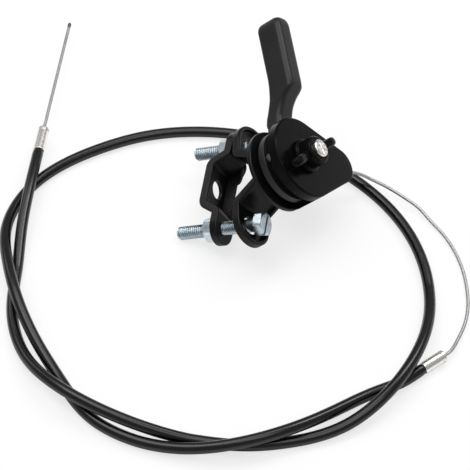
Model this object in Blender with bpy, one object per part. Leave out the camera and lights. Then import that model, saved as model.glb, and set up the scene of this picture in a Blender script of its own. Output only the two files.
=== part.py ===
"""Hand throttle lever with a handlebar clamp and its control cable."""

import math

import bpy
import numpy as np
from mathutils import Matrix, Vector

for old in list(bpy.data.objects):
    bpy.data.objects.remove(old, do_unlink=True)

# Sizes, in metres and degrees

FIT = 0.0003
RUNNING_FIT = 0.0002
ROUND_SIDES = 40

# Where the near clamp bolt's threaded end touches the ground
THREAD_END_X = -0.03785
THREAD_END_Y = -0.02809

# How the clamp and the hub are turned, as the part lies loosely bolted up
BOLT_AZIMUTH = -15.3
BOLT_RISE = 25.6
CLAMP_ROLL = 12.5
HUB_AZIMUTH = -6.1
HUB_RISE = 43.1

# Clamp bolts, nuts and washers
BOLT_SPACING = 0.0415
BASE_BOLT_SPACING = 0.0412
BOLT_DIAMETER = 0.006
BOLT_END_CHAMFER = 0.0007
NEAR_BOLT_LENGTH = 0.040
FAR_BOLT_LENGTH = 0.035
NEAR_BOLT_PROTRUSION = 0.0214
FAR_BOLT_PROTRUSION = 0.0210
HEX_ACROSS_FLATS = 0.010
HEAD_HEIGHT = 0.004
HEAD_CHAMFER = 0.0005
SLOT_WIDTH = 0.0014
SLOT_DEPTH = 0.0016
NUT_HEIGHT = 0.005
WASHER_DIAMETER = 0.0114
WASHER_THICKNESS = 0.0012

# Pressed clamp halves
PLATE_THICKNESS = 0.0018
PRESS_RADIUS = 0.0022
BASE_PRESS_RADIUS = 0.0026
STRAP_PRESS_RADIUS = 0.0035
STRAP_WIDTH = 0.015
STRAP_RISE = 0.0077
STRAP_SEAT = 0.0058
STRAP_FLAT = 0.021
STRAP_RIM_HEIGHT = 0.002
STRAP_RIM_WIDTH = 0.0015
STRAP_HOLE = 0.0085
STRAP_BOLT_HOLE = 0.0066
BASE_WIDTH = 0.020
BASE_RISE = 0.0127
BASE_SEAT = 0.0080
BASE_FLAT = 0.0124
BASE_RIM_HEIGHT = 0.002
BASE_RIM_WIDTH = 0.002
BASE_BOLT_HOLE = 0.0085
BASE_TO_NEAR_THREAD_END = 0.0363

# Pivot and hub
STUD_DIAMETER = 0.008
STUD_HEAD_DIAMETER = 0.0096
STUD_HEAD_THICKNESS = 0.0014
STUD_ABOVE_NUT = 0.0016
STUD_CHAMFER = 0.0004
HUB_PLATE_DIAMETER = 0.0372
HUB_PLATE_THICKNESS = 0.002
FRICTION_WASHER_DIAMETER = 0.024
FRICTION_WASHER_THICKNESS = 0.0015

# Lever
LEVER_FLANGE_DIAMETER = 0.0322
LEVER_FLANGE_THICKNESS = 0.0035
GROOVE_DIAMETER = 0.0250
GROOVE_WIDTH = 0.0026
LEVER_TOP_DIAMETER = 0.0296
LEVER_TOP_THICKNESS = 0.0015
LEVER_REST_ANGLE = 90.0
ARM_ROOT = 0.007
NECK_WIDTH = 0.0102
GRIP_THICKNESS = 0.0098
GRIP_WIDTH = 0.0124
GRIP_OFFSET = 0.0048
GRIP_START = 0.0336
LEVER_REACH = 0.0681
GRIP_EDGE_RADIUS = 0.0026

# Cover
COVER_DIAMETER = 0.0376
COVER_NOSE_DIAMETER = 0.0166
COVER_NOSE_DISTANCE = 0.0262
COVER_NOSE_ANGLE = 5.0
COVER_WALL = 0.0020
COVER_EDGE_RADIUS = 0.0015
COVER_TOP_CLEARANCE = 0.0033
COVER_RIM_DEPTH = 0.0045
COVER_WINDOW_EDGE = 0.0068
COVER_BOSS_DIAMETER = 0.0130
STOP_BLOCK_WIDTH = 0.0100
STOP_BLOCK_DEPTH = 0.0088
SOCKET_DEPTH = 0.0060

# Wing nut
WING_BASE_DIAMETER = 0.0156
WING_BASE_HEIGHT = 0.0016
WING_HUB_DIAMETER = 0.0132
WING_HUB_HEIGHT = 0.0063
WING_SPAN = 0.0360
WING_THICKNESS = 0.0042
WING_HEIGHT = 0.0060
WING_ANGLE = 30.0

# Cable
WIRE_DIAMETER = 0.0015
WIRE_BORE = 0.0021
SHEATH_DIAMETER = 0.0050
FERRULE_DIAMETER = 0.0055
LEVER_FERRULE_LENGTH = 0.0112
ENGINE_FERRULE_LENGTH = 0.0142
FERRULE_CHAMFER = 0.0003
NIPPLE_DIAMETER = 0.0045
NIPPLE_LENGTH = 0.0050
NIPPLE_ANGLE = 178.0
NIPPLE_SWEEP = 14.0
WIRE_EXIT_ANGLE = 9.0
WIRE_INSIDE_FERRULE = 0.0015
SHEATH_BORE_DEPTH = 0.0120
TIP_DIAMETER = 0.0017
TIP_LENGTH = 0.0030
TAIL_REACH = 0.0735
PULL_ANGLE = 90.0

# Route of the sheath's middle line in millimetres, from the lever end to the engine end
SHEATH_ROUTE = [
    (65.1, -102.2, 2.8), (62.1, -104.6, 2.8), (56.1, -108.7, 2.6), (45.5, -113.5, 2.5),
    (27.6, -124.5, 4.7), (9.0, -135.8, 8.2), (-11.8, -142.4, 8.1), (-33.5, -142.4, 4.3),
    (-54.5, -137.1, 2.5), (-73.0, -125.5, 2.5), (-85.9, -107.4, 2.5), (-97.1, -88.8, 4.7),
    (-106.2, -69.1, 8.2), (-112.2, -47.9, 8.1), (-114.8, -26.3, 4.4), (-109.0, -5.6, 2.5),
    (-95.0, 11.1, 2.5), (-76.4, 22.9, 2.5), (-55.8, 31.0, 2.5), (-34.0, 34.0, 2.5),
    (-12.3, 32.3, 2.5), (8.7, 26.1, 2.5), (28.0, 15.2, 2.5), (44.8, 0.7, 2.5),
    (58.1, -16.3, 2.5), (67.1, -36.3, 2.5), (70.8, -58.0, 2.5), (68.8, -79.8, 5.3),
    (61.4, -100.3, 8.2), (49.1, -118.2, 7.9), (31.9, -131.1, 3.9), (11.0, -137.8, 2.5),
    (-10.9, -139.8, 2.5), (-32.6, -136.9, 2.7), (-53.5, -132.1, 6.5), (-73.5, -123.0, 8.2),
    (-90.9, -110.0, 7.3), (-103.1, -92.1, 3.1), (-108.8, -71.0, 2.5), (-108.5, -49.0, 2.5),
    (-107.8, -27.3, 5.5), (-105.7, -5.6, 8.2), (-103.4, 16.2, 8.2),
]
SHEATH_STEPS = 74

# Route of the bare wire from the cover to the ferrule, in millimetres
WIRE_ROUTE = [
    (42.1, 0.2, 11.0), (47.5, -0.6, 8.6), (55.6, -3.4, 5.8), (64.0, -8.5, 3.6),
    (69.9, -13.3, 2.3), (73.5, -18.4, 1.6), (79.0, -26.3, 1.0), (84.1, -37.5, 0.9),
    (86.8, -48.7, 0.9), (87.6, -58.8, 0.9), (87.3, -67.3, 0.9), (84.6, -78.6, 1.2),
    (80.2, -88.4, 2.0),
]
WIRE_STEPS = 44


def unit(vector):
    return vector.normalized()


def frame(origin, x_axis, y_axis, z_axis):
    """A placing matrix from an origin and three axes."""
    matrix = Matrix.Identity(4)
    for column, axis in enumerate((x_axis, y_axis, z_axis, origin)):
        matrix[0][column], matrix[1][column], matrix[2][column] = axis
    return matrix


def direction(azimuth, rise):
    az, el = math.radians(azimuth), math.radians(rise)
    return Vector((math.cos(el) * math.cos(az), math.cos(el) * math.sin(az), math.sin(el)))


def polar(radius, degrees):
    return radius * math.cos(math.radians(degrees)), radius * math.sin(math.radians(degrees))


def material(name, colour, metallic, roughness):
    made = bpy.data.materials.new(name)
    made.use_nodes = True
    shader = made.node_tree.nodes["Principled BSDF"]
    shader.inputs["Base Color"].default_value = (*colour, 1.0)
    shader.inputs["Metallic"].default_value = metallic
    shader.inputs["Roughness"].default_value = roughness
    return made


def add_mesh(name, points, faces, matrix, surface):
    """One closed object with its faces turned out and its round sides smooth."""
    mesh = bpy.data.meshes.new(name)
    mesh.from_pydata([tuple(p) for p in points], [], faces)
    made = bpy.data.objects.new(name, mesh)
    bpy.context.collection.objects.link(made)
    made.matrix_world = matrix
    mesh.materials.append(surface)
    volume = 0.0
    mesh.calc_loop_triangles()
    for tri in mesh.loop_triangles:
        a, b, c = (mesh.vertices[i].co for i in tri.vertices)
        volume += a.dot(b.cross(c))
    if volume < 0.0:
        mesh.flip_normals()
    mesh.shade_smooth()
    mesh.set_sharp_from_angle(angle=math.radians(32.0))
    return made


def loft(name, rings, matrix, surface, closed=False):
    """A skin through rings of equal length, capped at both ends or closed on itself."""
    count = len(rings[0])
    points = [p for ring in rings for p in ring]
    faces = []
    steps = len(rings) if closed else len(rings) - 1
    for level in range(steps):
        here, above = level * count, (level + 1) % len(rings) * count
        for i in range(count):
            j = (i + 1) % count
            faces.append((here + i, here + j, above + j, above + i))
    if not closed:
        faces.append(tuple(range(count - 1, -1, -1)))
        faces.append(tuple(range((len(rings) - 1) * count, len(rings) * count)))
    return add_mesh(name, points, faces, matrix, surface)


def circle(radius, height, sides, turn=0.0, centre=(0.0, 0.0)):
    ring = []
    for i in range(sides):
        x, y = polar(radius, turn + 360.0 * i / sides)
        ring.append((centre[0] + x, centre[1] + y, height))
    return ring


def lathe(name, profile, matrix, surface, sides=ROUND_SIDES, turn=0.0, centre=(0.0, 0.0), ring=False):
    """A turned body from (radius, height) pairs, solid or with a bore."""
    rings = [circle(radius, height, sides, turn, centre) for radius, height in profile]
    return loft(name, rings, matrix, surface, closed=ring)


def prism(name, outline, low, high, matrix, surface):
    return loft(name, [[(x, y, z) for x, y in outline] for z in (low, high)], matrix, surface)


def block(name, low, high, matrix, surface):
    outline = [(low[0], low[1]), (high[0], low[1]), (high[0], high[1]), (low[0], high[1])]
    return prism(name, outline, low[2], high[2], matrix, surface)


def combine(target, other, operation):
    """Joins or cuts the target with another object, which is then removed."""
    step = target.modifiers.new("Boolean", "BOOLEAN")
    step.operation = operation
    step.solver = "EXACT"
    step.object = other
    bpy.context.view_layer.update()
    shaped = target.evaluated_get(bpy.context.evaluated_depsgraph_get())
    mesh = bpy.data.meshes.new_from_object(shaped)
    target.modifiers.remove(step)
    used = target.data
    target.data = mesh
    bpy.data.meshes.remove(used)
    mesh.name = target.name
    bpy.data.objects.remove(other, do_unlink=True)
    mesh.shade_smooth()
    mesh.set_sharp_from_angle(angle=math.radians(32.0))
    return target


def cut(target, other):
    return combine(target, other, "DIFFERENCE")


def join(target, other):
    return combine(target, other, "UNION")


def smooth_path(points, steps):
    """Even points on a natural cubic curve through the given ones."""
    knots = np.array(points, dtype=float)
    along = np.concatenate(([0.0], np.cumsum(np.linalg.norm(np.diff(knots, axis=0), axis=1))))
    count = len(knots)
    width = np.diff(along)
    matrix = np.eye(count)
    right = np.zeros((count, 3))
    for i in range(1, count - 1):
        matrix[i, i - 1] = width[i - 1]
        matrix[i, i] = 2.0 * (width[i - 1] + width[i])
        matrix[i, i + 1] = width[i]
        right[i] = 6.0 * (
            (knots[i + 1] - knots[i]) / width[i] - (knots[i] - knots[i - 1]) / width[i - 1]
        )
    bend = np.linalg.solve(matrix, right)
    t = np.linspace(0.0, along[-1], steps)
    k = np.clip(np.searchsorted(along, t, side="right") - 1, 0, count - 2)
    w = width[k][:, None]
    u = (t - along[k])[:, None]
    v = w - u
    return (
        bend[k] * v**3 / (6.0 * w)
        + bend[k + 1] * u**3 / (6.0 * w)
        + (knots[k] / w - bend[k] * w / 6.0) * v
        + (knots[k + 1] / w - bend[k + 1] * w / 6.0) * u
    )


def cord(name, path, diameter, surface, fineness):
    """A round tube along a path, with closed ends."""
    curve = bpy.data.curves.new(name, "CURVE")
    curve.dimensions = "3D"
    curve.bevel_depth = diameter / 2.0
    curve.bevel_resolution = fineness
    curve.use_fill_caps = True
    line = curve.splines.new("POLY")
    line.points.add(len(path) - 1)
    for point, place in zip(line.points, path):
        point.co = (*place, 1.0)
    curve.materials.append(surface)
    made = bpy.data.objects.new(name, curve)
    bpy.context.collection.objects.link(made)
    return made


def tube_mesh(name, path, diameter, surface, sides):
    """A round tube as a mesh, with closed ends, for a cord that has a bore cut in it."""
    path = [Vector(p) for p in path]
    rings = []
    side = None
    for i, place in enumerate(path):
        ahead = unit(path[min(i + 1, len(path) - 1)] - path[max(i - 1, 0)])
        if side is None:
            side = unit(ahead.cross(Vector((0.0, 0.0, 1.0))))
        side = unit(side - ahead * side.dot(ahead))
        up = ahead.cross(side)
        ring = []
        for k in range(sides):
            x, y = polar(diameter / 2.0, 360.0 * (k + 0.5) / sides)
            ring.append(place + side * x + up * y)
        rings.append(ring)
    return loft(name, rings, Matrix.Identity(4), surface)


def rounded(points, radii, steps=3):
    """An open line with its inner corners turned into arcs."""
    result = [points[0]]
    for before, corner, after, radius in zip(points, points[1:], points[2:], radii):
        corner = Vector(corner)
        back, on = unit(Vector(before) - corner), unit(Vector(after) - corner)
        half = back.angle(on) / 2.0
        centre = corner + unit(back + on) * (radius / math.sin(half))
        start = corner + back * (radius / math.tan(half)) - centre
        end = corner + on * (radius / math.tan(half)) - centre
        whole = start.angle(end)
        for i in range(steps + 1):
            t = i / steps
            spot = start * math.sin((1.0 - t) * whole) + end * math.sin(t * whole)
            result.append(tuple(centre + spot / math.sin(whole)))
    result.append(points[-1])
    return result


def offset_line(points, distance):
    """The line beside a bent line, at one distance from it on its upper side."""
    normals = []
    for a, b in zip(points, points[1:]):
        run = Vector(b) - Vector(a)
        normals.append(Vector((-run.y, run.x)).normalized())
    result = []
    for i, place in enumerate(points):
        first = normals[max(i - 1, 0)]
        second = normals[min(i, len(normals) - 1)]
        mid = (first + second).normalized()
        spot = Vector(place) + mid * (distance / mid.dot(first))
        result.append(tuple(spot))
    return result


def stadium(half_pitch, radius, sides=12):
    outline = []
    for start, x in ((-90.0, half_pitch), (90.0, -half_pitch)):
        for i in range(sides + 1):
            dx, dy = polar(radius, start + 180.0 * i / sides)
            outline.append((x + dx, dy))
    return outline


def slab(name, low_line, high_line, half_width, matrix, surface):
    """The space between two bent lines in the X Z plane, drawn out along Y."""
    loop = list(low_line) + list(reversed(high_line))
    rings = [[(x, y, z) for x, z in loop] for y in (half_width, -half_width)]
    return loft(name, rings, matrix, surface)


def pressed_half(name, matrix, surface, half_pitch, width, rise, seat, flat, rim_height, rim_width, bend):
    """A pressed plate with two bolt seats, a raised middle and a turned-up edge all round."""
    reach = half_pitch + width / 2.0 + 0.002
    step = half_pitch - seat
    line = [(-reach, 0.0), (-step, 0.0), (-flat / 2.0, rise), (flat / 2.0, rise), (step, 0.0), (reach, 0.0)]
    face = rounded(line, (PRESS_RADIUS, bend, bend, PRESS_RADIUS))
    body = slab(
        name,
        offset_line(face, -PLATE_THICKNESS),
        offset_line(face, rim_height),
        width,
        matrix,
        surface,
    )
    low, high = -PLATE_THICKNESS - 0.01, rise + rim_height + 0.01
    combine(body, prism("edge", stadium(half_pitch, width / 2.0), low, high, matrix, surface), "INTERSECT")
    pocket = slab("pocket", face, offset_line(line, rim_height + 0.003), width, matrix, surface)
    inner = stadium(half_pitch, width / 2.0 - rim_width)
    combine(pocket, prism("inner", inner, low, high, matrix, surface), "INTERSECT")
    return cut(body, pocket)


def hole(target, diameter, low, high, matrix, centre=(0.0, 0.0), sides=24):
    drill = lathe("drill", [(diameter / 2.0, low), (diameter / 2.0, high)], matrix, target.data.materials[0], sides, centre=centre)
    return cut(target, drill)


# Surfaces

black_paint = material("black_paint", (0.012, 0.012, 0.013), 0.0, 0.32)
black_plastic = material("black_plastic", (0.014, 0.014, 0.015), 0.0, 0.42)
gloss_plastic = material("gloss_plastic", (0.010, 0.010, 0.011), 0.0, 0.25)
zinc = material("zinc", (0.62, 0.65, 0.68), 1.0, 0.30)
nickel = material("nickel", (0.70, 0.69, 0.66), 1.0, 0.22)
steel_wire = material("steel_wire", (0.55, 0.55, 0.54), 1.0, 0.35)
sheath_black = material("sheath_black", (0.010, 0.010, 0.011), 0.0, 0.22)
solder = material("solder", (0.22, 0.21, 0.20), 1.0, 0.5)

# Axes of the clamp and of the hub

bolt_axis = direction(BOLT_AZIMUTH, BOLT_RISE)
level = unit(Vector((0.0, 0.0, 1.0)).cross(bolt_axis))
roll = math.radians(CLAMP_ROLL)
row_axis = level * math.cos(roll) + bolt_axis.cross(level) * math.sin(roll)
bar_axis = bolt_axis.cross(row_axis)
hub_axis = direction(HUB_AZIMUTH, HUB_RISE)

bolt_radius = BOLT_DIAMETER / 2.0
end_height = bolt_radius * math.sqrt(1.0 - bolt_axis.z**2) - BOLT_END_CHAMFER * bolt_axis.z
near_end = Vector((THREAD_END_X, THREAD_END_Y, end_height))
far_start = NEAR_BOLT_PROTRUSION - FAR_BOLT_PROTRUSION
far_end = near_end + row_axis * BOLT_SPACING + bolt_axis * far_start
near_frame = frame(near_end, row_axis, bar_axis, bolt_axis)
far_frame = frame(far_end, row_axis, bar_axis, bolt_axis)

# The base leans on the bolts, so its seats lie where the bolts cross it

lean = row_axis.dot(hub_axis) / bolt_axis.dot(hub_axis)
seat_row = row_axis - bolt_axis * lean
base_half_pitch = BASE_BOLT_SPACING / 2.0 * seat_row.length
seat_axis = unit(seat_row)
base_side = hub_axis.cross(seat_axis)
base_top = -FIT - BASE_RIM_HEIGHT
base_floor = base_top - BASE_RISE
hub_origin = (
    near_end
    + bolt_axis * BASE_TO_NEAR_THREAD_END
    + seat_axis * base_half_pitch
    - hub_axis * base_floor
)
base_frame = frame(hub_origin, seat_axis, base_side, hub_axis)
turn = math.radians(75.0)
nose_axis = seat_axis * math.cos(turn) - base_side * math.sin(turn)
lever_axis = hub_axis.cross(nose_axis)
hub_frame = frame(hub_origin, nose_axis, lever_axis, hub_axis)

# Heights along the hub

washer_low = HUB_PLATE_THICKNESS + FIT
lever_low = washer_low + FRICTION_WASHER_THICKNESS + FIT
groove_low = lever_low + LEVER_FLANGE_THICKNESS
groove_high = groove_low + GROOVE_WIDTH
lever_high = groove_high + LEVER_TOP_THICKNESS
cover_inside = lever_high + COVER_TOP_CLEARANCE
cover_top = cover_inside + COVER_WALL
wing_low = cover_top + FIT
wing_shoulder = wing_low + WING_BASE_HEIGHT
wing_high = wing_shoulder + WING_HUB_HEIGHT
stud_high = wing_high + STUD_ABOVE_NUT
base_under = base_top - PLATE_THICKNESS
bore_radius = STUD_DIAMETER / 2.0 + RUNNING_FIT

# Pivot stud

stud_radius = STUD_DIAMETER / 2.0
head_high = base_under - FIT
head_low = head_high - STUD_HEAD_THICKNESS
lathe(
    "pivot_stud",
    [
        (STUD_HEAD_DIAMETER / 2.0 - STUD_CHAMFER, head_low),
        (STUD_HEAD_DIAMETER / 2.0, head_low + STUD_CHAMFER),
        (STUD_HEAD_DIAMETER / 2.0, head_high),
        (stud_radius, head_high),
        (stud_radius, stud_high - STUD_CHAMFER),
        (stud_radius - STUD_CHAMFER, stud_high),
    ],
    hub_frame,
    zinc,
)

# Base bracket and clamp strap

base = pressed_half(
    "base_bracket",
    base_frame @ Matrix.Translation((0.0, 0.0, base_floor)),
    black_paint,
    base_half_pitch,
    BASE_WIDTH,
    BASE_RISE,
    BASE_SEAT,
    BASE_FLAT,
    BASE_RIM_HEIGHT,
    BASE_RIM_WIDTH,
    BASE_PRESS_RADIUS,
)
base_place = base.matrix_world.copy()
hole(base, 2.0 * bore_radius, -0.01, 0.03, base_place)
for side in (-1.0, 1.0):
    hole(base, BASE_BOLT_HOLE, -0.006, 0.006, base_place, centre=(side * base_half_pitch, 0.0))

strap_origin = near_end + bolt_axis * NEAR_BOLT_PROTRUSION + row_axis * (BOLT_SPACING / 2.0)
strap_place = frame(strap_origin, row_axis, -bar_axis, -bolt_axis)
strap = pressed_half(
    "clamp_strap",
    strap_place,
    black_paint,
    BOLT_SPACING / 2.0,
    STRAP_WIDTH,
    STRAP_RISE,
    STRAP_SEAT,
    STRAP_FLAT,
    STRAP_RIM_HEIGHT,
    STRAP_RIM_WIDTH,
    STRAP_PRESS_RADIUS,
)
hole(strap, STRAP_HOLE, 0.0, 0.03, strap_place)
for side in (-1.0, 1.0):
    hole(strap, STRAP_BOLT_HOLE, -0.006, 0.006, strap_place, centre=(side * BOLT_SPACING / 2.0, 0.0))


# Clamp bolts with their nuts and washers


def clamp_bolt(name, place, length):
    corner = HEX_ACROSS_FLATS / 2.0 / math.cos(math.radians(30.0))
    shank = lathe(
        name,
        [
            (bolt_radius - BOLT_END_CHAMFER, 0.0),
            (bolt_radius, BOLT_END_CHAMFER),
            (bolt_radius, length + 0.001),
        ],
        place,
        zinc,
        sides=20,
    )
    head = lathe(
        "head",
        [
            (corner, length),
            (corner, length + HEAD_HEIGHT - HEAD_CHAMFER),
            (corner - HEAD_CHAMFER * 1.6, length + HEAD_HEIGHT),
        ],
        place,
        zinc,
        sides=6,
    )
    join(shank, head)
    top = length + HEAD_HEIGHT
    slot = block(
        "slot",
        (-HEX_ACROSS_FLATS, -SLOT_WIDTH / 2.0, top - SLOT_DEPTH),
        (HEX_ACROSS_FLATS, SLOT_WIDTH / 2.0, top + 0.002),
        place,
        zinc,
    )
    return cut(shank, slot)


def nut_and_washer(label, place, seat):
    """A plain nut and a flat washer on the outer face of the strap."""
    inner = bolt_radius + RUNNING_FIT
    washer_high = seat - FIT
    washer_base = washer_high - WASHER_THICKNESS
    outer = WASHER_DIAMETER / 2.0
    lathe(
        "clamp_washer_" + label,
        [(inner, washer_base), (outer, washer_base), (outer, washer_high), (inner, washer_high)],
        place,
        zinc,
        sides=32,
        ring=True,
    )
    nut_high = washer_base - FIT
    nut_low = nut_high - NUT_HEIGHT
    corner = HEX_ACROSS_FLATS / 2.0 / math.cos(math.radians(30.0))
    nut = lathe(
        "clamp_nut_" + label,
        [
            (corner - HEAD_CHAMFER * 1.6, nut_low),
            (corner, nut_low + HEAD_CHAMFER),
            (corner, nut_high - HEAD_CHAMFER),
            (corner - HEAD_CHAMFER * 1.6, nut_high),
        ],
        place,
        zinc,
        sides=6,
        turn=12.0,
    )
    return hole(nut, 2.0 * inner, nut_low - 0.001, nut_high + 0.001, place, sides=20)


clamp_bolt("clamp_bolt_near", near_frame, NEAR_BOLT_LENGTH)
clamp_bolt("clamp_bolt_far", far_frame, FAR_BOLT_LENGTH)
nut_and_washer("near", near_frame, NEAR_BOLT_PROTRUSION)
nut_and_washer("far", far_frame, FAR_BOLT_PROTRUSION)

# Hub plate and friction washer

plate_radius = HUB_PLATE_DIAMETER / 2.0
edge = 0.0003
lathe(
    "hub_plate",
    [
        (bore_radius, 0.0),
        (plate_radius - edge, 0.0),
        (plate_radius, edge),
        (plate_radius, HUB_PLATE_THICKNESS - edge),
        (plate_radius - edge, HUB_PLATE_THICKNESS),
        (bore_radius, HUB_PLATE_THICKNESS),
    ],
    hub_frame,
    black_paint,
    sides=56,
    ring=True,
)
washer_high = washer_low + FRICTION_WASHER_THICKNESS
lathe(
    "friction_washer",
    [
        (bore_radius, washer_low),
        (FRICTION_WASHER_DIAMETER / 2.0, washer_low),
        (FRICTION_WASHER_DIAMETER / 2.0, washer_high),
        (bore_radius, washer_high),
    ],
    hub_frame,
    black_plastic,
    ring=True,
)

# Throttle lever: a grooved hub with a cranked arm that widens to the grip

flange_radius = LEVER_FLANGE_DIAMETER / 2.0
top_radius = LEVER_TOP_DIAMETER / 2.0
groove_radius = GROOVE_DIAMETER / 2.0
lever = lathe(
    "throttle_lever",
    [
        (bore_radius, lever_low),
        (flange_radius - 0.0005, lever_low),
        (flange_radius, lever_low + 0.0005),
        (flange_radius, groove_low - 0.0004),
        (flange_radius - 0.0004, groove_low),
        (groove_radius, groove_low),
        (groove_radius, groove_high),
        (top_radius, groove_high),
        (top_radius, lever_high),
        (bore_radius, lever_high),
    ],
    hub_frame,
    black_plastic,
    sides=48,
    ring=True,
)


def arm_section(reach, low, high, half):
    """A rounded rectangle across the arm, at one distance from the hub."""
    upper = min(GRIP_EDGE_RADIUS, 0.40 * (high - low), 0.45 * half * 2.0)
    lower = upper * 0.55
    ring = []
    for start, radius, x, z in (
        (0.0, upper, half - upper, high - upper),
        (90.0, upper, upper - half, high - upper),
        (180.0, lower, lower - half, low + lower),
        (270.0, lower, half - lower, low + lower),
    ):
        for i in range(5):
            dx, dz = polar(radius, start + 22.5 * i)
            ring.append((x + dx, reach, z + dz))
    return ring


grip_low = lever_low + GRIP_OFFSET
grip_high = grip_low + GRIP_WIDTH
neck_half = NECK_WIDTH / 2.0
grip_half = GRIP_THICKNESS / 2.0
root_low, root_high = lever_low + 0.0002, groove_low - 0.0002
rim_low = cover_top - COVER_RIM_DEPTH - FIT
start = GRIP_START
reach = LEVER_REACH
sections = [
    (ARM_ROOT, root_low, root_high, neck_half + 0.0013),
    (flange_radius - 0.0008, root_low, root_high, neck_half + 0.0011),
    (flange_radius + 0.0012, root_low, rim_low - 0.0016, neck_half + 0.0008),
    (start - 0.0142, root_low - 0.0006, rim_low - 0.0003, neck_half + 0.0005),
    (start - 0.0116, root_low - 0.0002, rim_low - 0.0001, neck_half + 0.0002),
    (start - 0.0091, root_low + 0.0008, rim_low + 0.0008, neck_half),
    (start - 0.0062, root_low + 0.0020, rim_low + 0.0024, neck_half - 0.0001),
    (start - 0.0043, grip_low - 0.0018, rim_low + 0.0040, grip_half + 0.0001),
    (start - 0.0029, grip_low - 0.0014, grip_high - 0.0035, grip_half),
    (start - 0.0016, grip_low - 0.0011, grip_high - 0.0016, grip_half),
    (start, grip_low - 0.0008, grip_high - 0.0003, grip_half),
    (start + 0.0030, grip_low - 0.0003, grip_high, grip_half),
    (start + 0.0075, grip_low, grip_high, grip_half),
    (start + 0.0170, grip_low, grip_high, grip_half),
    (reach - 0.0042, grip_low, grip_high, grip_half),
    (reach - 0.0028, grip_low + 0.0001, grip_high - 0.0001, grip_half - 0.0002),
    (reach - 0.0016, grip_low + 0.0005, grip_high - 0.0003, grip_half - 0.0006),
    (reach - 0.0006, grip_low + 0.0013, grip_high - 0.0008, grip_half - 0.0013),
    (reach, grip_low + 0.0025, grip_high - 0.0016, grip_half - 0.0023),
]
lever_frame = hub_frame @ Matrix.Rotation(math.radians(LEVER_REST_ANGLE - 90.0), 4, "Z")
join(lever, loft("arm", [arm_section(*s) for s in sections], lever_frame, black_plastic))

# The nipple sits in a pocket beside the groove

wire_radius = WIRE_DIAMETER / 2.0
wrap_radius = groove_radius + wire_radius + 0.00015
wire_level = (groove_low + groove_high) / 2.0
nipple_place = polar(wrap_radius - 0.0006, NIPPLE_ANGLE)
nipple_low = wire_level - NIPPLE_LENGTH / 2.0
nipple_radius = NIPPLE_DIAMETER / 2.0
hole(
    lever,
    NIPPLE_DIAMETER + 2.0 * FIT,
    nipple_low - FIT,
    lever_high + 0.002,
    hub_frame,
    centre=nipple_place,
    sides=16,
)
lathe(
    "cable_nipple",
    [(nipple_radius, nipple_low), (nipple_radius, nipple_low + NIPPLE_LENGTH)],
    hub_frame,
    nickel,
    sides=16,
    centre=nipple_place,
)

# Cover with a nose, where the wire leaves it


def nose_outline(inset, height):
    """The line round two circles, drawn in by an inset."""
    big = COVER_DIAMETER / 2.0 - inset
    small = COVER_NOSE_DIAMETER / 2.0 - inset
    spread = math.degrees(math.acos((big - small) / COVER_NOSE_DISTANCE))
    centre = polar(COVER_NOSE_DISTANCE, COVER_NOSE_ANGLE)
    ring = []
    for i in range(33):
        x, y = polar(big, COVER_NOSE_ANGLE + spread + (360.0 - 2.0 * spread) * i / 32)
        ring.append((x, y, height))
    for i in range(13):
        x, y = polar(small, COVER_NOSE_ANGLE - spread + 2.0 * spread * i / 12)
        ring.append((centre[0] + x, centre[1] + y, height))
    return ring


skirt_low = HUB_PLATE_THICKNESS + FIT
levels = [(0.0, skirt_low), (0.0, cover_top - COVER_EDGE_RADIUS)]
for i in range(1, 4):
    angle = math.radians(30.0 * i)
    levels.append(
        (COVER_EDGE_RADIUS * (1.0 - math.cos(angle)), cover_top - COVER_EDGE_RADIUS * (1.0 - math.sin(angle)))
    )
cover = loft("cable_cover", [nose_outline(*pair) for pair in levels], hub_frame, gloss_plastic)
cut(
    cover,
    loft(
        "inside",
        [nose_outline(COVER_WALL, z) for z in (skirt_low - 0.002, cover_inside)],
        hub_frame,
        gloss_plastic,
    ),
)
far_side = COVER_DIAMETER
cut(
    cover,
    block(
        "window",
        (-far_side, -far_side, skirt_low - 0.002),
        (COVER_WINDOW_EDGE, far_side, cover_top - COVER_RIM_DEPTH),
        hub_frame,
        gloss_plastic,
    ),
)
boss_radius = COVER_BOSS_DIAMETER / 2.0
join(
    cover,
    lathe(
        "boss",
        [(boss_radius, lever_high + FIT), (boss_radius, cover_inside + COVER_WALL / 2.0)],
        hub_frame,
        gloss_plastic,
    ),
)

# The wire leaves the groove on a tangent and passes the stop block in the nose

nose_reach = COVER_NOSE_DISTANCE + COVER_NOSE_DIAMETER / 2.0
exit_x, exit_y = polar(nose_reach, WIRE_EXIT_ANGLE)
half_view = math.degrees(math.asin(wrap_radius / nose_reach))
exit_angle = WIRE_EXIT_ANGLE - half_view
tangent_angle = exit_angle + 90.0
exit_run = nose_reach * math.cos(math.radians(half_view))
exit_frame = hub_frame @ Matrix.Translation((exit_x, exit_y, wire_level))
exit_frame = exit_frame @ Matrix.Rotation(math.radians(exit_angle), 4, "Z")
stop = block(
    "stop",
    (-STOP_BLOCK_DEPTH, -STOP_BLOCK_WIDTH / 2.0, -SHEATH_DIAMETER),
    (0.004, STOP_BLOCK_WIDTH / 2.0, cover_inside + COVER_WALL / 2.0 - wire_level),
    exit_frame,
    gloss_plastic,
)
limit = [nose_outline(COVER_WALL / 2.0, z) for z in (skirt_low, cover_top)]
combine(stop, loft("limit", limit, hub_frame, gloss_plastic), "INTERSECT")
join(cover, stop)
along_exit = exit_frame @ Matrix.Rotation(math.radians(90.0), 4, "Y")
hole(cover, WIRE_BORE, -0.02, 0.01, along_exit, sides=12)
hole(cover, FERRULE_DIAMETER + 2.0 * FIT, -SOCKET_DEPTH, 0.01, along_exit, sides=20)
hole(cover, 2.0 * bore_radius, lever_high - 0.001, cover_top + 0.001, hub_frame, sides=ROUND_SIDES)

# Wing nut

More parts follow.
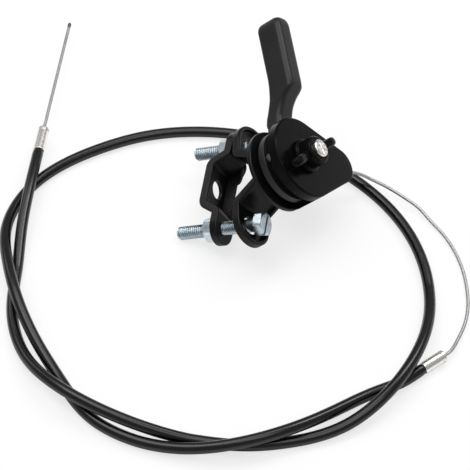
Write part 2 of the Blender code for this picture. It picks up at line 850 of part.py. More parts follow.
wing_base = WING_BASE_DIAMETER / 2.0
wing_hub = WING_HUB_DIAMETER / 2.0
wing = lathe(
    "wing_nut",
    [
        (wing_base, wing_low),
        (wing_base, wing_shoulder - 0.0004),
        (wing_base - 0.0004, wing_shoulder),
        (wing_hub, wing_shoulder + 0.0002),
        (wing_hub - 0.0002, wing_high - 0.0004),
        (wing_hub - 0.0006, wing_high),
    ],
    hub_frame,
    black_plastic,
)
wing_frame = hub_frame @ Matrix.Rotation(math.radians(WING_ANGLE), 4, "Z")
ear_half = WING_THICKNESS / 2.0
ear_low = wing_shoulder - 0.0004
ear_high = ear_low + WING_HEIGHT
ear_outline = [
    (-WING_SPAN / 2.0, ear_low + 0.0022),
    (-WING_SPAN / 2.0 + 0.0012, ear_low + 0.0010),
    (-wing_hub, ear_low),
    (wing_hub, ear_low),
    (WING_SPAN / 2.0 - 0.0012, ear_low + 0.0010),
    (WING_SPAN / 2.0, ear_low + 0.0022),
    (WING_SPAN / 2.0, ear_high - 0.0012),
    (WING_SPAN / 2.0 - 0.0012, ear_high),
    (wing_hub, ear_high - 0.0008),
    (-wing_hub, ear_high - 0.0008),
    (-WING_SPAN / 2.0 + 0.0012, ear_high),
    (-WING_SPAN / 2.0, ear_high - 0.0012),
]
ears = loft(
    "ears",
    [[(x, y, z) for x, z in ear_outline] for y in (ear_half, -ear_half)],
    wing_frame,
    black_plastic,
)
join(wing, ears)
hole(wing, 2.0 * bore_radius, wing_low - 0.001, wing_high + 0.001, hub_frame, sides=ROUND_SIDES)

# Bare wire on the lever's groove, from the tangent point to the nipple


def hub_point(radius, degrees):
    x, y = polar(radius, degrees)
    return hub_frame @ Vector((x, y, wire_level))


gap_angle = math.degrees(FIT / wrap_radius)
wrap_end = NIPPLE_ANGLE - NIPPLE_SWEEP
wrap = [
    hub_point(wrap_radius, tangent_angle + gap_angle + (wrap_end - tangent_angle - gap_angle) * i / 11)
    for i in range(12)
]
nipple_centre = hub_frame @ Vector((*nipple_place, wire_level))
wrap.append(nipple_centre + unit(wrap[-1] - nipple_centre) * (nipple_radius + FIT))
cord("core_wire_wrap", wrap, WIRE_DIAMETER, steel_wire, 2)

# Sheath, with a bore at its engine end for the sliding wire

sheath_path = smooth_path([Vector(p) * 0.001 for p in SHEATH_ROUTE], SHEATH_STEPS)
sheath_path[:, 2] = np.maximum(sheath_path[:, 2], SHEATH_DIAMETER / 2.0 + 0.00005)
tail_axis = unit(Vector(sheath_path[-1]) - Vector(sheath_path[-2]))
lead_axis = unit(Vector(sheath_path[0]) - Vector(sheath_path[1]))
sheath = tube_mesh("cable_sheath", sheath_path, SHEATH_DIAMETER, sheath_black, 12)


def axial_frame(origin, axis):
    side = unit(axis.cross(Vector((0.0, 0.0, 1.0))))
    return frame(origin, side, axis.cross(side), axis)


def ferrule(name, place, length):
    outer = FERRULE_DIAMETER / 2.0
    made = lathe(
        name,
        [
            (WIRE_BORE / 2.0, 0.0),
            (outer - FERRULE_CHAMFER, 0.0),
            (outer, FERRULE_CHAMFER),
            (outer, length - FERRULE_CHAMFER),
            (outer - FERRULE_CHAMFER, length),
            (WIRE_BORE / 2.0, length),
        ],
        place,
        nickel,
        sides=28,
        ring=True,
    )
    return made


engine_frame = axial_frame(Vector(sheath_path[-1]) + tail_axis * FIT, tail_axis)
lead_frame = axial_frame(Vector(sheath_path[0]) + lead_axis * FIT, lead_axis)
ferrule("ferrule_engine_end", engine_frame, ENGINE_FERRULE_LENGTH)
ferrule("ferrule_lever_end", lead_frame, LEVER_FERRULE_LENGTH)
hole(sheath, WIRE_BORE, -SHEATH_BORE_DEPTH, 0.002, engine_frame, sides=12)

# Bare wire between the cover and the ferrule at the lever end

tangent = hub_point(wrap_radius, tangent_angle)
exit_way = (exit_frame @ Vector((1.0, 0.0, 0.0))) - (exit_frame @ Vector((0.0, 0.0, 0.0)))
exit_spot = exit_frame @ Vector((0.0, 0.0, 0.0))
ferrule_mouth = lead_frame @ Vector((0.0, 0.0, LEVER_FERRULE_LENGTH))
run = [tangent + exit_way * FIT]
run += [exit_spot - exit_way * back for back in (0.022, 0.012, 0.004)]
run += [exit_spot + exit_way * 0.0015]
run += [Vector(p) * 0.001 for p in WIRE_ROUTE]
run += [ferrule_mouth + lead_axis * 0.003, ferrule_mouth - lead_axis * WIRE_INSIDE_FERRULE]
run_path = smooth_path(run, WIRE_STEPS)
cord("core_wire_run", run_path, WIRE_DIAMETER, steel_wire, 2)

# Tail of the wire at the engine end, which slides when the lever turns

tail_start = ENGINE_FERRULE_LENGTH - WIRE_INSIDE_FERRULE
tip_start = ENGINE_FERRULE_LENGTH + TAIL_REACH - TIP_LENGTH
lathe(
    "core_wire_tail",
    [(wire_radius, tail_start), (wire_radius, tip_start - FIT)],
    engine_frame,
    steel_wire,
    sides=12,
)
lathe(
    "wire_end_tip",
    [
        (TIP_DIAMETER / 2.0, tip_start),
        (TIP_DIAMETER / 2.0, tip_start + TIP_LENGTH - 0.0005),
        (TIP_DIAMETER / 4.0, tip_start + TIP_LENGTH),
    ],
    engine_frame,
    solder,
    sides=12,
)
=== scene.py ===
"""Dresses a hand throttle lever with its handlebar clamp and control cable.

Each piece is a surface worked out as whole arrays and put into one mesh. Lengths are in metres.
"""

import math

import bmesh
import bpy
import numpy as np
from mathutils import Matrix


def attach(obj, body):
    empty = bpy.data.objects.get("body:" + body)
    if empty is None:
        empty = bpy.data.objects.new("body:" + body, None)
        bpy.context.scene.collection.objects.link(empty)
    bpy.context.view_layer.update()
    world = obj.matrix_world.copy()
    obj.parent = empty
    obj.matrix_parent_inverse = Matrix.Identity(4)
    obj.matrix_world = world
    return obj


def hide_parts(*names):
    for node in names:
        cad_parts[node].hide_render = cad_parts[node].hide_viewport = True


bl_info = {
    "name": "Throttle lever and cable",
    "version": (1, 0, 0),
    "blender": (4, 5, 0),
    "location": "View3D > Sidebar > Throttle",
    "description": "Builds the fine surfaces of a hand throttle lever with its cable",
    "category": "Object",
}

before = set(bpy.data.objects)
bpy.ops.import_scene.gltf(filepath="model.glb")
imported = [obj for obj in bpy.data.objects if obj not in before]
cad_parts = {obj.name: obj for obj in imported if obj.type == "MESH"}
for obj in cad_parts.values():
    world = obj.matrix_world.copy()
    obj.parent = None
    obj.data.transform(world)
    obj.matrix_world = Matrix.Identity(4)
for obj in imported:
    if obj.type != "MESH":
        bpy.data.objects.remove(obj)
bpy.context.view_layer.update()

# Places and fits that the solids share

FIT = 0.0003
RUNNING_FIT = 0.0002
THREAD_END = (-0.03785, -0.02809)
BOLT_AZIMUTH, BOLT_RISE, CLAMP_ROLL = -15.3, 25.6, 12.5
HUB_AZIMUTH, HUB_RISE = -6.1, 43.1
BASE_TO_NEAR_THREAD_END = 0.0363
NEAR_BOLT_PROTRUSION, FAR_BOLT_PROTRUSION = 0.0214, 0.0210
HOUSING = "clamp_and_housing"
BOLT_SPACING, BASE_BOLT_SPACING = 0.0415, 0.0412
PLATE_THICKNESS = 0.0018

# Route of the sheath's middle line in millimetres, from the lever end to the engine end
SHEATH_ROUTE = [
    (65.1, -102.2, 2.8), (62.1, -104.6, 2.8), (56.1, -108.7, 2.6), (45.5, -113.5, 2.5),
    (27.6, -124.5, 4.7), (9.0, -135.8, 8.2), (-11.8, -142.4, 8.1), (-33.5, -142.4, 4.3),
    (-54.5, -137.1, 2.5), (-73.0, -125.5, 2.5), (-85.9, -107.4, 2.5), (-97.1, -88.8, 4.7),
    (-106.2, -69.1, 8.2), (-112.2, -47.9, 8.1), (-114.8, -26.3, 4.4), (-109.0, -5.6, 2.5),
    (-95.0, 11.1, 2.5), (-76.4, 22.9, 2.5), (-55.8, 31.0, 2.5), (-34.0, 34.0, 2.5),
    (-12.3, 32.3, 2.5), (8.7, 26.1, 2.5), (28.0, 15.2, 2.5), (44.8, 0.7, 2.5),
    (58.1, -16.3, 2.5), (67.1, -36.3, 2.5), (70.8, -58.0, 2.5), (68.8, -79.8, 5.3),
    (61.4, -100.3, 8.2), (49.1, -118.2, 7.9), (31.9, -131.1, 3.9), (11.0, -137.8, 2.5),
    (-10.9, -139.8, 2.5), (-32.6, -136.9, 2.7), (-53.5, -132.1, 6.5), (-73.5, -123.0, 8.2),
    (-90.9, -110.0, 7.3), (-103.1, -92.1, 3.1), (-108.8, -71.0, 2.5), (-108.5, -49.0, 2.5),
    (-107.8, -27.3, 5.5), (-105.7, -5.6, 8.2), (-103.4, 16.2, 8.2),
]

# Route of the bare wire from the cover to the ferrule, in millimetres
WIRE_ROUTE = [
    (42.1, 0.2, 11.0), (47.5, -0.6, 8.6), (55.6, -3.4, 5.8), (64.0, -8.5, 3.6),
    (69.9, -13.3, 2.3), (73.5, -18.4, 1.6), (79.0, -26.3, 1.0), (84.1, -37.5, 0.9),
    (86.8, -48.7, 0.9), (87.6, -58.8, 0.9), (87.3, -67.3, 0.9), (84.6, -78.6, 1.2),
    (80.2, -88.4, 2.0),
]

# Clamp
BOLT_RADIUS = 0.003
THREAD_PITCH = 0.001
HEX, HEX_CORNER, HEX_TURN = 0.010, 0.00566, 12.0
CHAMFER_RADIUS, CHAMFER_SLOPE = 0.00475, 1.732

# Hub, from the plate up to the end of the stud
BORE = 0.0042
PLATE_HIGH = 0.0020
WASHER_LOW, WASHER_HIGH = 0.0023, 0.0038
LEVER_LOW, GROOVE_LOW, GROOVE_HIGH, LEVER_HIGH = 0.0041, 0.0076, 0.0102, 0.0117
COVER_INSIDE, COVER_TOP = 0.0150, 0.0170
WING_LOW, WING_SHOULDER, WING_HIGH, STUD_HIGH = 0.0173, 0.0189, 0.0252, 0.0268
BASE_TOP = -0.0023
BASE_RISE = 0.0127
WIRE_LEVEL = 0.0089
WRAP_RADIUS = 0.0134
NIPPLE_ANGLE, NIPPLE_SWEEP = 178.0, 14.0
WIRE_RADIUS = 0.00075
SHEATH_RADIUS = 0.0025
STRANDS, STRAND_DEPTH = 12, 0.00012
LEVER_FERRULE, ENGINE_FERRULE = 0.0112, 0.0142
FERRULE_RADIUS, FERRULE_BORE = 0.00275, 0.00105
TAIL_REACH, TIP_LENGTH = 0.0735, 0.0030
NIPPLE_RADIUS, NIPPLE_HALF, NIPPLE_INSET = 0.00225, 0.0025, 0.0006
NOSE_DISTANCE, NOSE_ANGLE, NOSE_RADIUS, COVER_RADIUS = 0.0262, 5.0, 0.0083, 0.0188

# Studio: mirrored ceiling, soft light from all round, and the floor's share of white in the picture
CEILING_LEVEL, FILL_LEVEL, FLOOR_GLOW = 0.34, 0.42, 0.72


def unit(vector):
    vector = np.asarray(vector, dtype=float)
    return vector / np.linalg.norm(vector, axis=-1, keepdims=True)


def direction(azimuth, rise):
    az, el = math.radians(azimuth), math.radians(rise)
    return np.array((math.cos(el) * math.cos(az), math.cos(el) * math.sin(az), math.sin(el)))


def axes(origin, x_axis, y_axis, z_axis):
    """A placing matrix from an origin and three axes."""
    matrix = np.eye(4)
    matrix[:3, 0], matrix[:3, 1], matrix[:3, 2], matrix[:3, 3] = x_axis, y_axis, z_axis, origin
    return matrix


def moved(matrix, x=0.0, y=0.0, z=0.0, turn=0.0):
    """The placing matrix shifted in its own axes, then turned about its own Z by degrees."""
    c, s = math.cos(math.radians(turn)), math.sin(math.radians(turn))
    return matrix @ np.array(((c, -s, 0.0, x), (s, c, 0.0, y), (0.0, 0.0, 1.0, z), (0.0, 0.0, 0.0, 1.0)))


def placed(points, matrix):
    return np.asarray(points) @ matrix[:3, :3].T + matrix[:3, 3]


def curve_through(points, steps):
    """Even points on a natural cubic curve: each span blends its ends by cubes of the distance to them."""
    knots = np.array(points, dtype=float)
    along = np.concatenate(([0.0], np.cumsum(np.linalg.norm(np.diff(knots, axis=0), axis=1))))
    width = np.diff(along)
    count = len(knots)
    slope = np.diff(knots, axis=0) / width[:, None]
    matrix = np.eye(count)
    inner = np.arange(1, count - 1)
    matrix[inner, inner - 1] = width[:-1]
    matrix[inner, inner] = 2.0 * (width[:-1] + width[1:])
    matrix[inner, inner + 1] = width[1:]
    right = np.zeros((count, 3))
    right[1:-1] = 6.0 * np.diff(slope, axis=0)
    bend = np.linalg.solve(matrix, right)
    t = np.linspace(0.0, along[-1], steps)
    k = np.clip(np.searchsorted(along, t, side="right") - 1, 0, count - 2)
    w = width[k][:, None]
    u = (t - along[k])[:, None]
    v = w - u
    return (
        bend[k] * v**3 / (6.0 * w)
        + bend[k + 1] * u**3 / (6.0 * w)
        + (knots[k] / w - bend[k] * w / 6.0) * v
        + (knots[k + 1] / w - bend[k + 1] * w / 6.0) * u
    )


def columns(*parts):
    return np.stack(parts, axis=-1)


def distance_along(path):
    return np.concatenate(([0.0], np.cumsum(np.linalg.norm(np.diff(path, axis=0), axis=1))))


def eased(known, values, wanted):
    """Values between known ones on cubic spans whose slopes never overshoot, by harmonic means."""
    known, values = np.asarray(known, float), np.asarray(values, float)
    width = np.diff(known)
    slope = np.diff(values) / width
    same = slope[:-1] * slope[1:] > 0.0
    safe = np.where(same, slope[:-1] + slope[1:], 1.0)
    inner = np.where(same, 2.0 * slope[:-1] * slope[1:] / safe, 0.0)
    rates = np.concatenate(([slope[0]], inner, [slope[-1]]))
    k = np.clip(np.searchsorted(known, wanted, side="right") - 1, 0, len(width) - 1)
    t = (wanted - known[k]) / width[k]
    return (
        values[k] * (1.0 + 2.0 * t) * (1.0 - t) ** 2
        + values[k + 1] * t * t * (3.0 - 2.0 * t)
        + rates[k] * width[k] * t * (1.0 - t) ** 2
        - rates[k + 1] * width[k] * t * t * (1.0 - t)
    )


def soft_line(points, radii, steps=6, closed=False):
    """A bent line whose corners are arcs: each arc is a turn about the point at one radius from both sides."""
    points = np.asarray(points, dtype=float)
    count = len(points)
    pieces = [] if closed else [points[:1]]
    corners = range(count) if closed else range(1, count - 1)
    for corner, radius in zip(corners, radii):
        here = points[corner]
        back = unit(points[corner - 1] - here)
        on = unit(points[(corner + 1) % count] - here)
        half = math.acos(float(np.clip(back @ on, -1.0, 1.0))) / 2.0
        if radius <= 0.0 or half > 1.56:
            pieces.append(here[None])
            continue
        centre = here + unit(back + on) * (radius / math.sin(half))
        start = here + back * (radius / math.tan(half)) - centre
        end = here + on * (radius / math.tan(half)) - centre
        whole = math.pi - 2.0 * half
        t = np.linspace(0.0, 1.0, steps + 1)[:, None]
        pieces.append(centre + (start * np.sin((1.0 - t) * whole) + end * np.sin(t * whole)) / math.sin(whole))
    if not closed:
        pieces.append(points[-1:])
    return np.concatenate(pieces)


# Axes of the clamp and of the hub

UP = np.array((0.0, 0.0, 1.0))
BOLT_AXIS = direction(BOLT_AZIMUTH, BOLT_RISE)
LEVEL_AXIS = unit(np.cross(UP, BOLT_AXIS))
ROLL = math.radians(CLAMP_ROLL)
ROW_AXIS = LEVEL_AXIS * math.cos(ROLL) + np.cross(BOLT_AXIS, LEVEL_AXIS) * math.sin(ROLL)
BAR_AXIS = np.cross(BOLT_AXIS, ROW_AXIS)
HUB_AXIS = direction(HUB_AZIMUTH, HUB_RISE)
END_HEIGHT = BOLT_RADIUS * math.sqrt(1.0 - BOLT_AXIS[2] ** 2) - 0.0007 * BOLT_AXIS[2]
NEAR_END = np.array((*THREAD_END, END_HEIGHT))
FAR_END = NEAR_END + ROW_AXIS * BOLT_SPACING + BOLT_AXIS * (NEAR_BOLT_PROTRUSION - FAR_BOLT_PROTRUSION)
NEAR_PLACE = axes(NEAR_END, ROW_AXIS, BAR_AXIS, BOLT_AXIS)
FAR_PLACE = axes(FAR_END, ROW_AXIS, BAR_AXIS, BOLT_AXIS)

SEAT_ROW = ROW_AXIS - BOLT_AXIS * (ROW_AXIS @ HUB_AXIS) / (BOLT_AXIS @ HUB_AXIS)
BASE_HALF = BASE_BOLT_SPACING / 2.0 * float(np.linalg.norm(SEAT_ROW))
SEAT_AXIS = unit(SEAT_ROW)
BASE_SIDE = np.cross(HUB_AXIS, SEAT_AXIS)
BASE_FLOOR = BASE_TOP - BASE_RISE
HUB_ORIGIN = NEAR_END + BOLT_AXIS * BASE_TO_NEAR_THREAD_END + SEAT_AXIS * BASE_HALF - HUB_AXIS * BASE_FLOOR
BASE_PLACE = moved(axes(HUB_ORIGIN, SEAT_AXIS, BASE_SIDE, HUB_AXIS), z=BASE_FLOOR)
NOSE_SIDE_ANGLE = 75.0
SIDE_TURN = math.radians(NOSE_SIDE_ANGLE)
NOSE_AXIS = SEAT_AXIS * math.cos(SIDE_TURN) - BASE_SIDE * math.sin(SIDE_TURN)
HUB_PLACE = axes(HUB_ORIGIN, NOSE_AXIS, np.cross(HUB_AXIS, NOSE_AXIS), HUB_AXIS)
STRAP_ORIGIN = NEAR_END + BOLT_AXIS * NEAR_BOLT_PROTRUSION + ROW_AXIS * (BOLT_SPACING / 2.0)
STRAP_PLACE = axes(STRAP_ORIGIN, ROW_AXIS, -BAR_AXIS, -BOLT_AXIS)

# Where the wire leaves the groove and the cover

NOSE_REACH = NOSE_DISTANCE + NOSE_RADIUS
HALF_VIEW = math.asin(WRAP_RADIUS / NOSE_REACH)
EXIT_ANGLE = 9.0
EXIT_TURN = EXIT_ANGLE - math.degrees(HALF_VIEW)
EXIT_X = NOSE_REACH * math.cos(math.radians(EXIT_ANGLE))
EXIT_Y = NOSE_REACH * math.sin(math.radians(EXIT_ANGLE))
EXIT_PLACE = moved(HUB_PLACE, x=EXIT_X, y=EXIT_Y, z=WIRE_LEVEL, turn=EXIT_TURN)
EXIT_SPOT, EXIT_WAY = EXIT_PLACE[:3, 3], EXIT_PLACE[:3, 0]
ALONG_EXIT = axes(EXIT_SPOT, -EXIT_PLACE[:3, 2], EXIT_PLACE[:3, 1], EXIT_WAY)
TANGENT_ANGLE = EXIT_TURN + 90.0

# The two ends of the sheath

COARSE = curve_through(np.array(SHEATH_ROUTE) * 0.001, 74)
TAIL_AXIS = unit(COARSE[-1] - COARSE[-2])
LEAD_AXIS = unit(COARSE[0] - COARSE[1])


def axial_place(origin, axis):
    side = unit(np.cross(axis, UP))
    return axes(origin, side, np.cross(axis, side), axis)


ENGINE_PLACE = axial_place(COARSE[-1] + TAIL_AXIS * FIT, TAIL_AXIS)
LEAD_PLACE = axial_place(COARSE[0] + LEAD_AXIS * FIT, LEAD_AXIS)
FERRULE_MOUTH = placed((0.0, 0.0, LEVER_FERRULE), LEAD_PLACE)


def hub_points(radius, degrees, height):
    angle = np.radians(degrees)
    flat = columns(radius * np.cos(angle), radius * np.sin(angle), np.zeros_like(angle) + height)
    return placed(flat, HUB_PLACE)


def nipple_spot():
    """Middle of the nipple across the hub's axis."""
    angle = math.radians(NIPPLE_ANGLE)
    return (WRAP_RADIUS - NIPPLE_INSET) * np.array((math.cos(angle), math.sin(angle)))


def whole_turn(sides):
    return np.linspace(0.0, 2.0 * math.pi, sides, endpoint=False)


def round_rings(radius, height, angle):
    """Rings about the Z axis: each row of radius and height is carried through the angles."""
    return columns(radius * np.cos(angle), radius * np.sin(angle), height + 0.0 * angle)


def shaped(name, rings, matrix=None, loop=False, lengths=None):
    """One closed mesh from a grid whose rows are rings: neighbouring rings are joined by four-sided faces.

    A ring that has shrunk to a point becomes a pole. With lengths, the UV map holds the share of the
    way round and the distance along in metres.
    """
    rings = np.asarray(rings, dtype=float)
    if matrix is not None:
        rings = placed(rings, matrix)
    levels, around = rings.shape[:2]
    steps = levels if loop else levels - 1
    i, j = np.meshgrid(np.arange(steps), np.arange(around), indexing="ij")
    k, m = (i + 1) % levels, (j + 1) % around
    faces = columns(i * around + j, i * around + m, k * around + m, k * around + j)
    mesh = bpy.data.meshes.new(name)
    mesh.from_pydata(rings.reshape(-1, 3).tolist(), [], faces.reshape(-1, 4).tolist())
    if lengths is not None:
        share = columns(j, j + 1, j + 1, j) / around
        reach = columns(lengths[i], lengths[i], lengths[k], lengths[k])
        layer = mesh.uv_layers.new(name="surface")
        layer.data.foreach_set("uv", columns(share, reach).astype(np.float32).ravel())
    cells = bmesh.new()
    cells.from_mesh(mesh)
    bmesh.ops.remove_doubles(cells, verts=cells.verts, dist=2e-7)
    bmesh.ops.dissolve_degenerate(cells, edges=cells.edges, dist=1e-8)
    if cells.calc_volume(signed=True) < 0.0:
        bmesh.ops.reverse_faces(cells, faces=cells.faces)
    cells.to_mesh(mesh)
    cells.free()
    made = bpy.data.objects.new(name, mesh)
    bpy.context.collection.objects.link(made)
    return made


def combined(target, other, operation):
    """Joins or cuts the target with another object, which is then removed."""
    step = target.modifiers.new("Boolean", "BOOLEAN")
    step.operation, step.solver, step.object = operation, "EXACT", other
    bpy.context.view_layer.update()
    mesh = bpy.data.meshes.new_from_object(target.evaluated_get(bpy.context.evaluated_depsgraph_get()))
    if len(mesh.polygons) < 4:
        raise RuntimeError("nothing is left of " + target.name)
    target.modifiers.remove(step)
    target.data = mesh
    mesh.name = target.name
    bpy.data.objects.remove(other, do_unlink=True)
    return target


def finished(made, finish, body, nodes, sharp=38.0, even=True):
    """Gives a piece its surface, its shading and its place in the frame."""
    made.data.materials.clear()
    made.data.materials.append(finish)
    made.data.shade_smooth()
    made.data.set_sharp_from_angle(angle=math.radians(sharp))
    if even:
        step = made.modifiers.new("Even shading", "WEIGHTED_NORMAL")
        step.keep_sharp = True
        step.weight = 80
    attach(made, body)
    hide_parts(*nodes)
    return made


def turned(name, profile, matrix, sides=96, loop=False):
    """A turned body: each radius and height of the profile is carried once round the axis."""
    profile = np.asarray(profile, dtype=float)
    if not loop:
        profile = np.concatenate(([[0.0, profile[0, 1]]], profile, [[0.0, profile[-1, 1]]]))
    return shaped(name, round_rings(profile[:, :1], profile[:, 1:], whole_turn(sides)), matrix, loop)


def turned_ring(name, corners, radii, steps, place, sides):
    """A turned body with a bore, whose section has arcs for corners."""
    return turned(name, soft_line(corners, radii, steps, closed=True), place, sides, loop=True)


def swept(path, radius, sides, up=UP):
    """Rings round a path: each point is the path's own plus the radius along a turning square direction."""
    ahead = unit(np.gradient(path, axis=0))
    side = unit(np.cross(ahead, up))
    above = np.cross(side, ahead)
    angle = whole_turn(sides)
    radius = np.broadcast_to(np.asarray(radius, dtype=float).reshape(-1, 1) if np.ndim(radius) < 2 else radius,
                             (len(path), sides))
    spread = side[:, None] * np.cos(angle)[None, :, None] + above[:, None] * np.sin(angle)[None, :, None]
    return path[:, None] + spread * radius[..., None]


def strands(lengths, sides):
    """Radius of a laid wire: the outer strands are round ridges that turn once in each lay length."""
    turned_by = 2.0 * math.pi * lengths[:, None] / settings().lay_length
    phase = (STRANDS * (whole_turn(sides)[None] - turned_by)) / (2.0 * math.pi)
    off = np.abs((phase % 1.0) - 0.5) * 2.0
    return WIRE_RADIUS - STRAND_DEPTH * off**2.2


def capped(rings, start, end):
    first, last = np.broadcast_to(start, rings[:1].shape), np.broadcast_to(end, rings[:1].shape)
    return np.concatenate((first, rings, last))


def with_ends(values):
    """Values along a path with the first and the last doubled, for the two closing points."""
    return np.concatenate((values[:1], values, values[-1:]))


def laid(name, path, lengths, body, node, up=UP, sides=60):
    """A bare wire along a path, closed to a point at both ends."""
    rings = capped(swept(path, strands(lengths, sides), sides, up), path[0], path[-1])
    wire = shaped(name, rings, lengths=with_ends(lengths))
    return finished(wire, finish_of("laid_wire"), body, [node], even=False)


def block(name, x, y, z, place):
    """A box between two values on each axis."""
    rings = np.array([[(x[0], y[0], h), (x[1], y[0], h), (x[1], y[1], h), (x[0], y[1], h)] for h in z])
    return shaped(name, capped(rings, rings[0].mean(0), rings[1].mean(0)), place)


# Surfaces


class Value:
    """An output of a node, on which plain arithmetic adds Math nodes."""

    def __init__(self, nodes, socket):
        self.nodes, self.socket = nodes, socket

    def worked(self, operation, first, second):
        return self.nodes.node("ShaderNodeMath", {"operation": operation}, {0: first, 1: second})

    def __add__(self, other):
        return self.worked("ADD", self, other)

    def __radd__(self, other):
        return self.worked("ADD", other, self)

    def __mul__(self, other):
        return self.worked("MULTIPLY", self, other)

    def __rmul__(self, other):
        return self.worked("MULTIPLY", other, self)


class Nodes:
    """A node tree to which one method adds every node."""

    def __init__(self, tree):
        self.tree = tree

    def feed(self, socket, value):
        if isinstance(value, Value):
            self.tree.links.new(value.socket, socket)
        else:
            socket.default_value = value

    def node(self, kind, settings=None, sockets=None, output=0):
        """Adds a node: its settings first, then the values or links of its sockets."""
        made = self.tree.nodes.new(kind)
        for key, value in (settings or {}).items():
            setattr(made, key, value)
        for key, value in (sockets or {}).items():
            self.feed(made.inputs[key], value)
        return Value(self, made.outputs[output])

    def spot(self):
        return self.node("ShaderNodeTexCoord", output="Object")

    def noise(self, scale, detail=3.0, rough=0.55, spot=None, stretch=None):
        where = spot or self.spot()
        if stretch:
            where = self.node("ShaderNodeMapping", None, {"Vector": where, "Scale": stretch})
        values = {"Vector": where, "Scale": scale, "Detail": detail, "Roughness": rough}
        return self.node("ShaderNodeTexNoise", None, values, "Fac")

    def span(self, value, low, high, to_low=0.0, to_high=1.0):
        settings = {"interpolation_type": "SMOOTHSTEP"}
        values = {"Value": value, "From Min": low, "From Max": high, "To Min": to_low, "To Max": to_high}
        return self.node("ShaderNodeMapRange", settings, values)

    def blend(self, factor, first, second):
        first = (*first, 1.0) if isinstance(first, tuple) else first
        second = (*second, 1.0) if isinstance(second, tuple) else second
        return self.node("ShaderNodeMix", {"data_type": "RGBA"}, {0: factor, 6: first, 7: second}, 2)


class Finish(Nodes):
    """A surface made of nodes round one shader."""

    def __init__(self, name, metallic=0.0, roughness=0.5, specular=0.5):
        self.material = bpy.data.materials.new(name)
        self.material.use_nodes = True
        super().__init__(self.material.node_tree)
        self.shader = self.tree.nodes["Principled BSDF"]
        self.feed(self.shader.inputs["Metallic"], metallic)
        self.feed(self.shader.inputs["Roughness"], roughness)
        self.feed(self.shader.inputs["Specular IOR Level"], specular)

    def surface(self, colour, roughness=None, height=None, distance=0.0):
        self.feed(self.shader.inputs["Base Color"], colour)
        if roughness is not None:
            self.feed(self.shader.inputs["Roughness"], roughness)
        if height is not None:
            bump = self.node("ShaderNodeBump", None, {"Strength": 1.0, "Distance": distance, "Height": height})
            self.feed(self.shader.inputs["Normal"], bump)
        return self.material


def shade(colour, factor):
    return tuple(channel * factor for channel in colour)


def pressed_paint(colour):
    """Baked black paint on pressed steel: a fine orange peel and faint dust."""
    made = Finish("pressed_paint", roughness=0.3, specular=0.22)
    peel = made.noise(900.0, 2.0)
    dust = made.noise(160.0, 5.0, 0.65)
    tone = made.blend(made.span(dust, 0.35, 0.8), colour, shade(colour, 2.1))
    return made.surface(tone, 0.22 + 0.16 * dust, peel, 0.00004)


def satin_plastic(colour):
    """Moulded satin plastic: a fine grain over slow flow marks."""
    made = Finish("satin_plastic", roughness=0.38, specular=0.34)
    grain = made.noise(3200.0, 2.0, 0.6)
    flow = made.noise(70.0, 3.0)
    tone = made.blend(made.span(flow, 0.3, 0.7), shade(colour, 0.85), shade(colour, 1.25))
    return made.surface(tone, 0.30 + 0.12 * flow + 0.06 * grain, grain, 0.000012)


def gloss_plastic(colour):
    """Moulded cover and wing nut: glossy, with a slight ripple and a few fine scuffs."""
    made = Finish("cover_plastic", roughness=0.2, specular=0.07)
    ripple = made.noise(110.0, 2.0)
    scuff = made.noise(1500.0, 3.0, 0.6, stretch=(1.0, 0.12, 1.0))
    dust = made.noise(260.0, 6.0, 0.7)
    tone = made.blend(made.span(dust, 0.45, 0.85), colour, shade(colour, 2.2))
    return made.surface(tone, 0.17 + 0.06 * made.span(scuff, 0.45, 0.75) + 0.07 * dust, ripple, 0.00003)


def zinc_plate(colour, name="zinc_plate", start=None, axis=None, length=0.0):
    """Bright zinc on steel: cloudy bluish patches with fine pits, and painted shade at the root of a thread."""
    made = Finish(name, metallic=1.0, roughness=0.3)
    cloud = made.noise(420.0, 4.0, 0.6)
    pits = made.noise(2600.0, 2.0)
    tone = made.blend(made.span(cloud, 0.3, 0.72), shade(colour, 0.72), colour)
    warm = made.blend(0.18 * made.noise(150.0, 2.0), tone, (0.72, 0.70, 0.60))
    # Painted shade: the colour darkens in the roots of the thread along its threaded length.
    if start is not None:
        off = made.node("ShaderNodeVectorMath", {"operation": "SUBTRACT"}, {0: made.spot(), 1: start})
        beside = made.node("ShaderNodeVectorMath", {"operation": "CROSS_PRODUCT"}, {0: off, 1: axis})
        radius = made.node("ShaderNodeVectorMath", {"operation": "LENGTH"}, {0: beside}, 1)
        height = made.node("ShaderNodeVectorMath", {"operation": "DOT_PRODUCT"}, {0: off, 1: axis}, 1)
        root_shade = made.span(radius, 0.00245, 0.00275, 1.0, 0.0) * made.span(height, length, length + 0.001, 1.0, 0.0)
        root_shade = root_shade * made.span(height, 0.0002, 0.0007)
        warm = made.blend(root_shade, warm, shade(colour, 0.24))
    return made.surface(warm, 0.2 + 0.22 * cloud, pits, 0.000012)


def bright_nickel(colour):
    """Bright nickel: faint stains over a very fine grain."""
    made = Finish("bright_nickel", metallic=1.0, roughness=0.2)
    stain = made.noise(500.0, 4.0, 0.6)
    fine = made.noise(3600.0, 2.0)
    tone = made.blend(made.span(stain, 0.35, 0.75), colour, shade(colour, 0.88))
    return made.surface(tone, 0.24 + 0.06 * stain, fine, 0.000006)


def laid_wire(colour):
    """Dull bright steel with slow streaks."""
    made = Finish("laid_wire", metallic=1.0, roughness=0.35)
    streak = made.noise(900.0, 3.0)
    tone = made.blend(made.span(streak, 0.3, 0.7), shade(colour, 0.88), colour)
    return made.surface(tone, 0.38 + 0.2 * streak, streak, 0.00001)


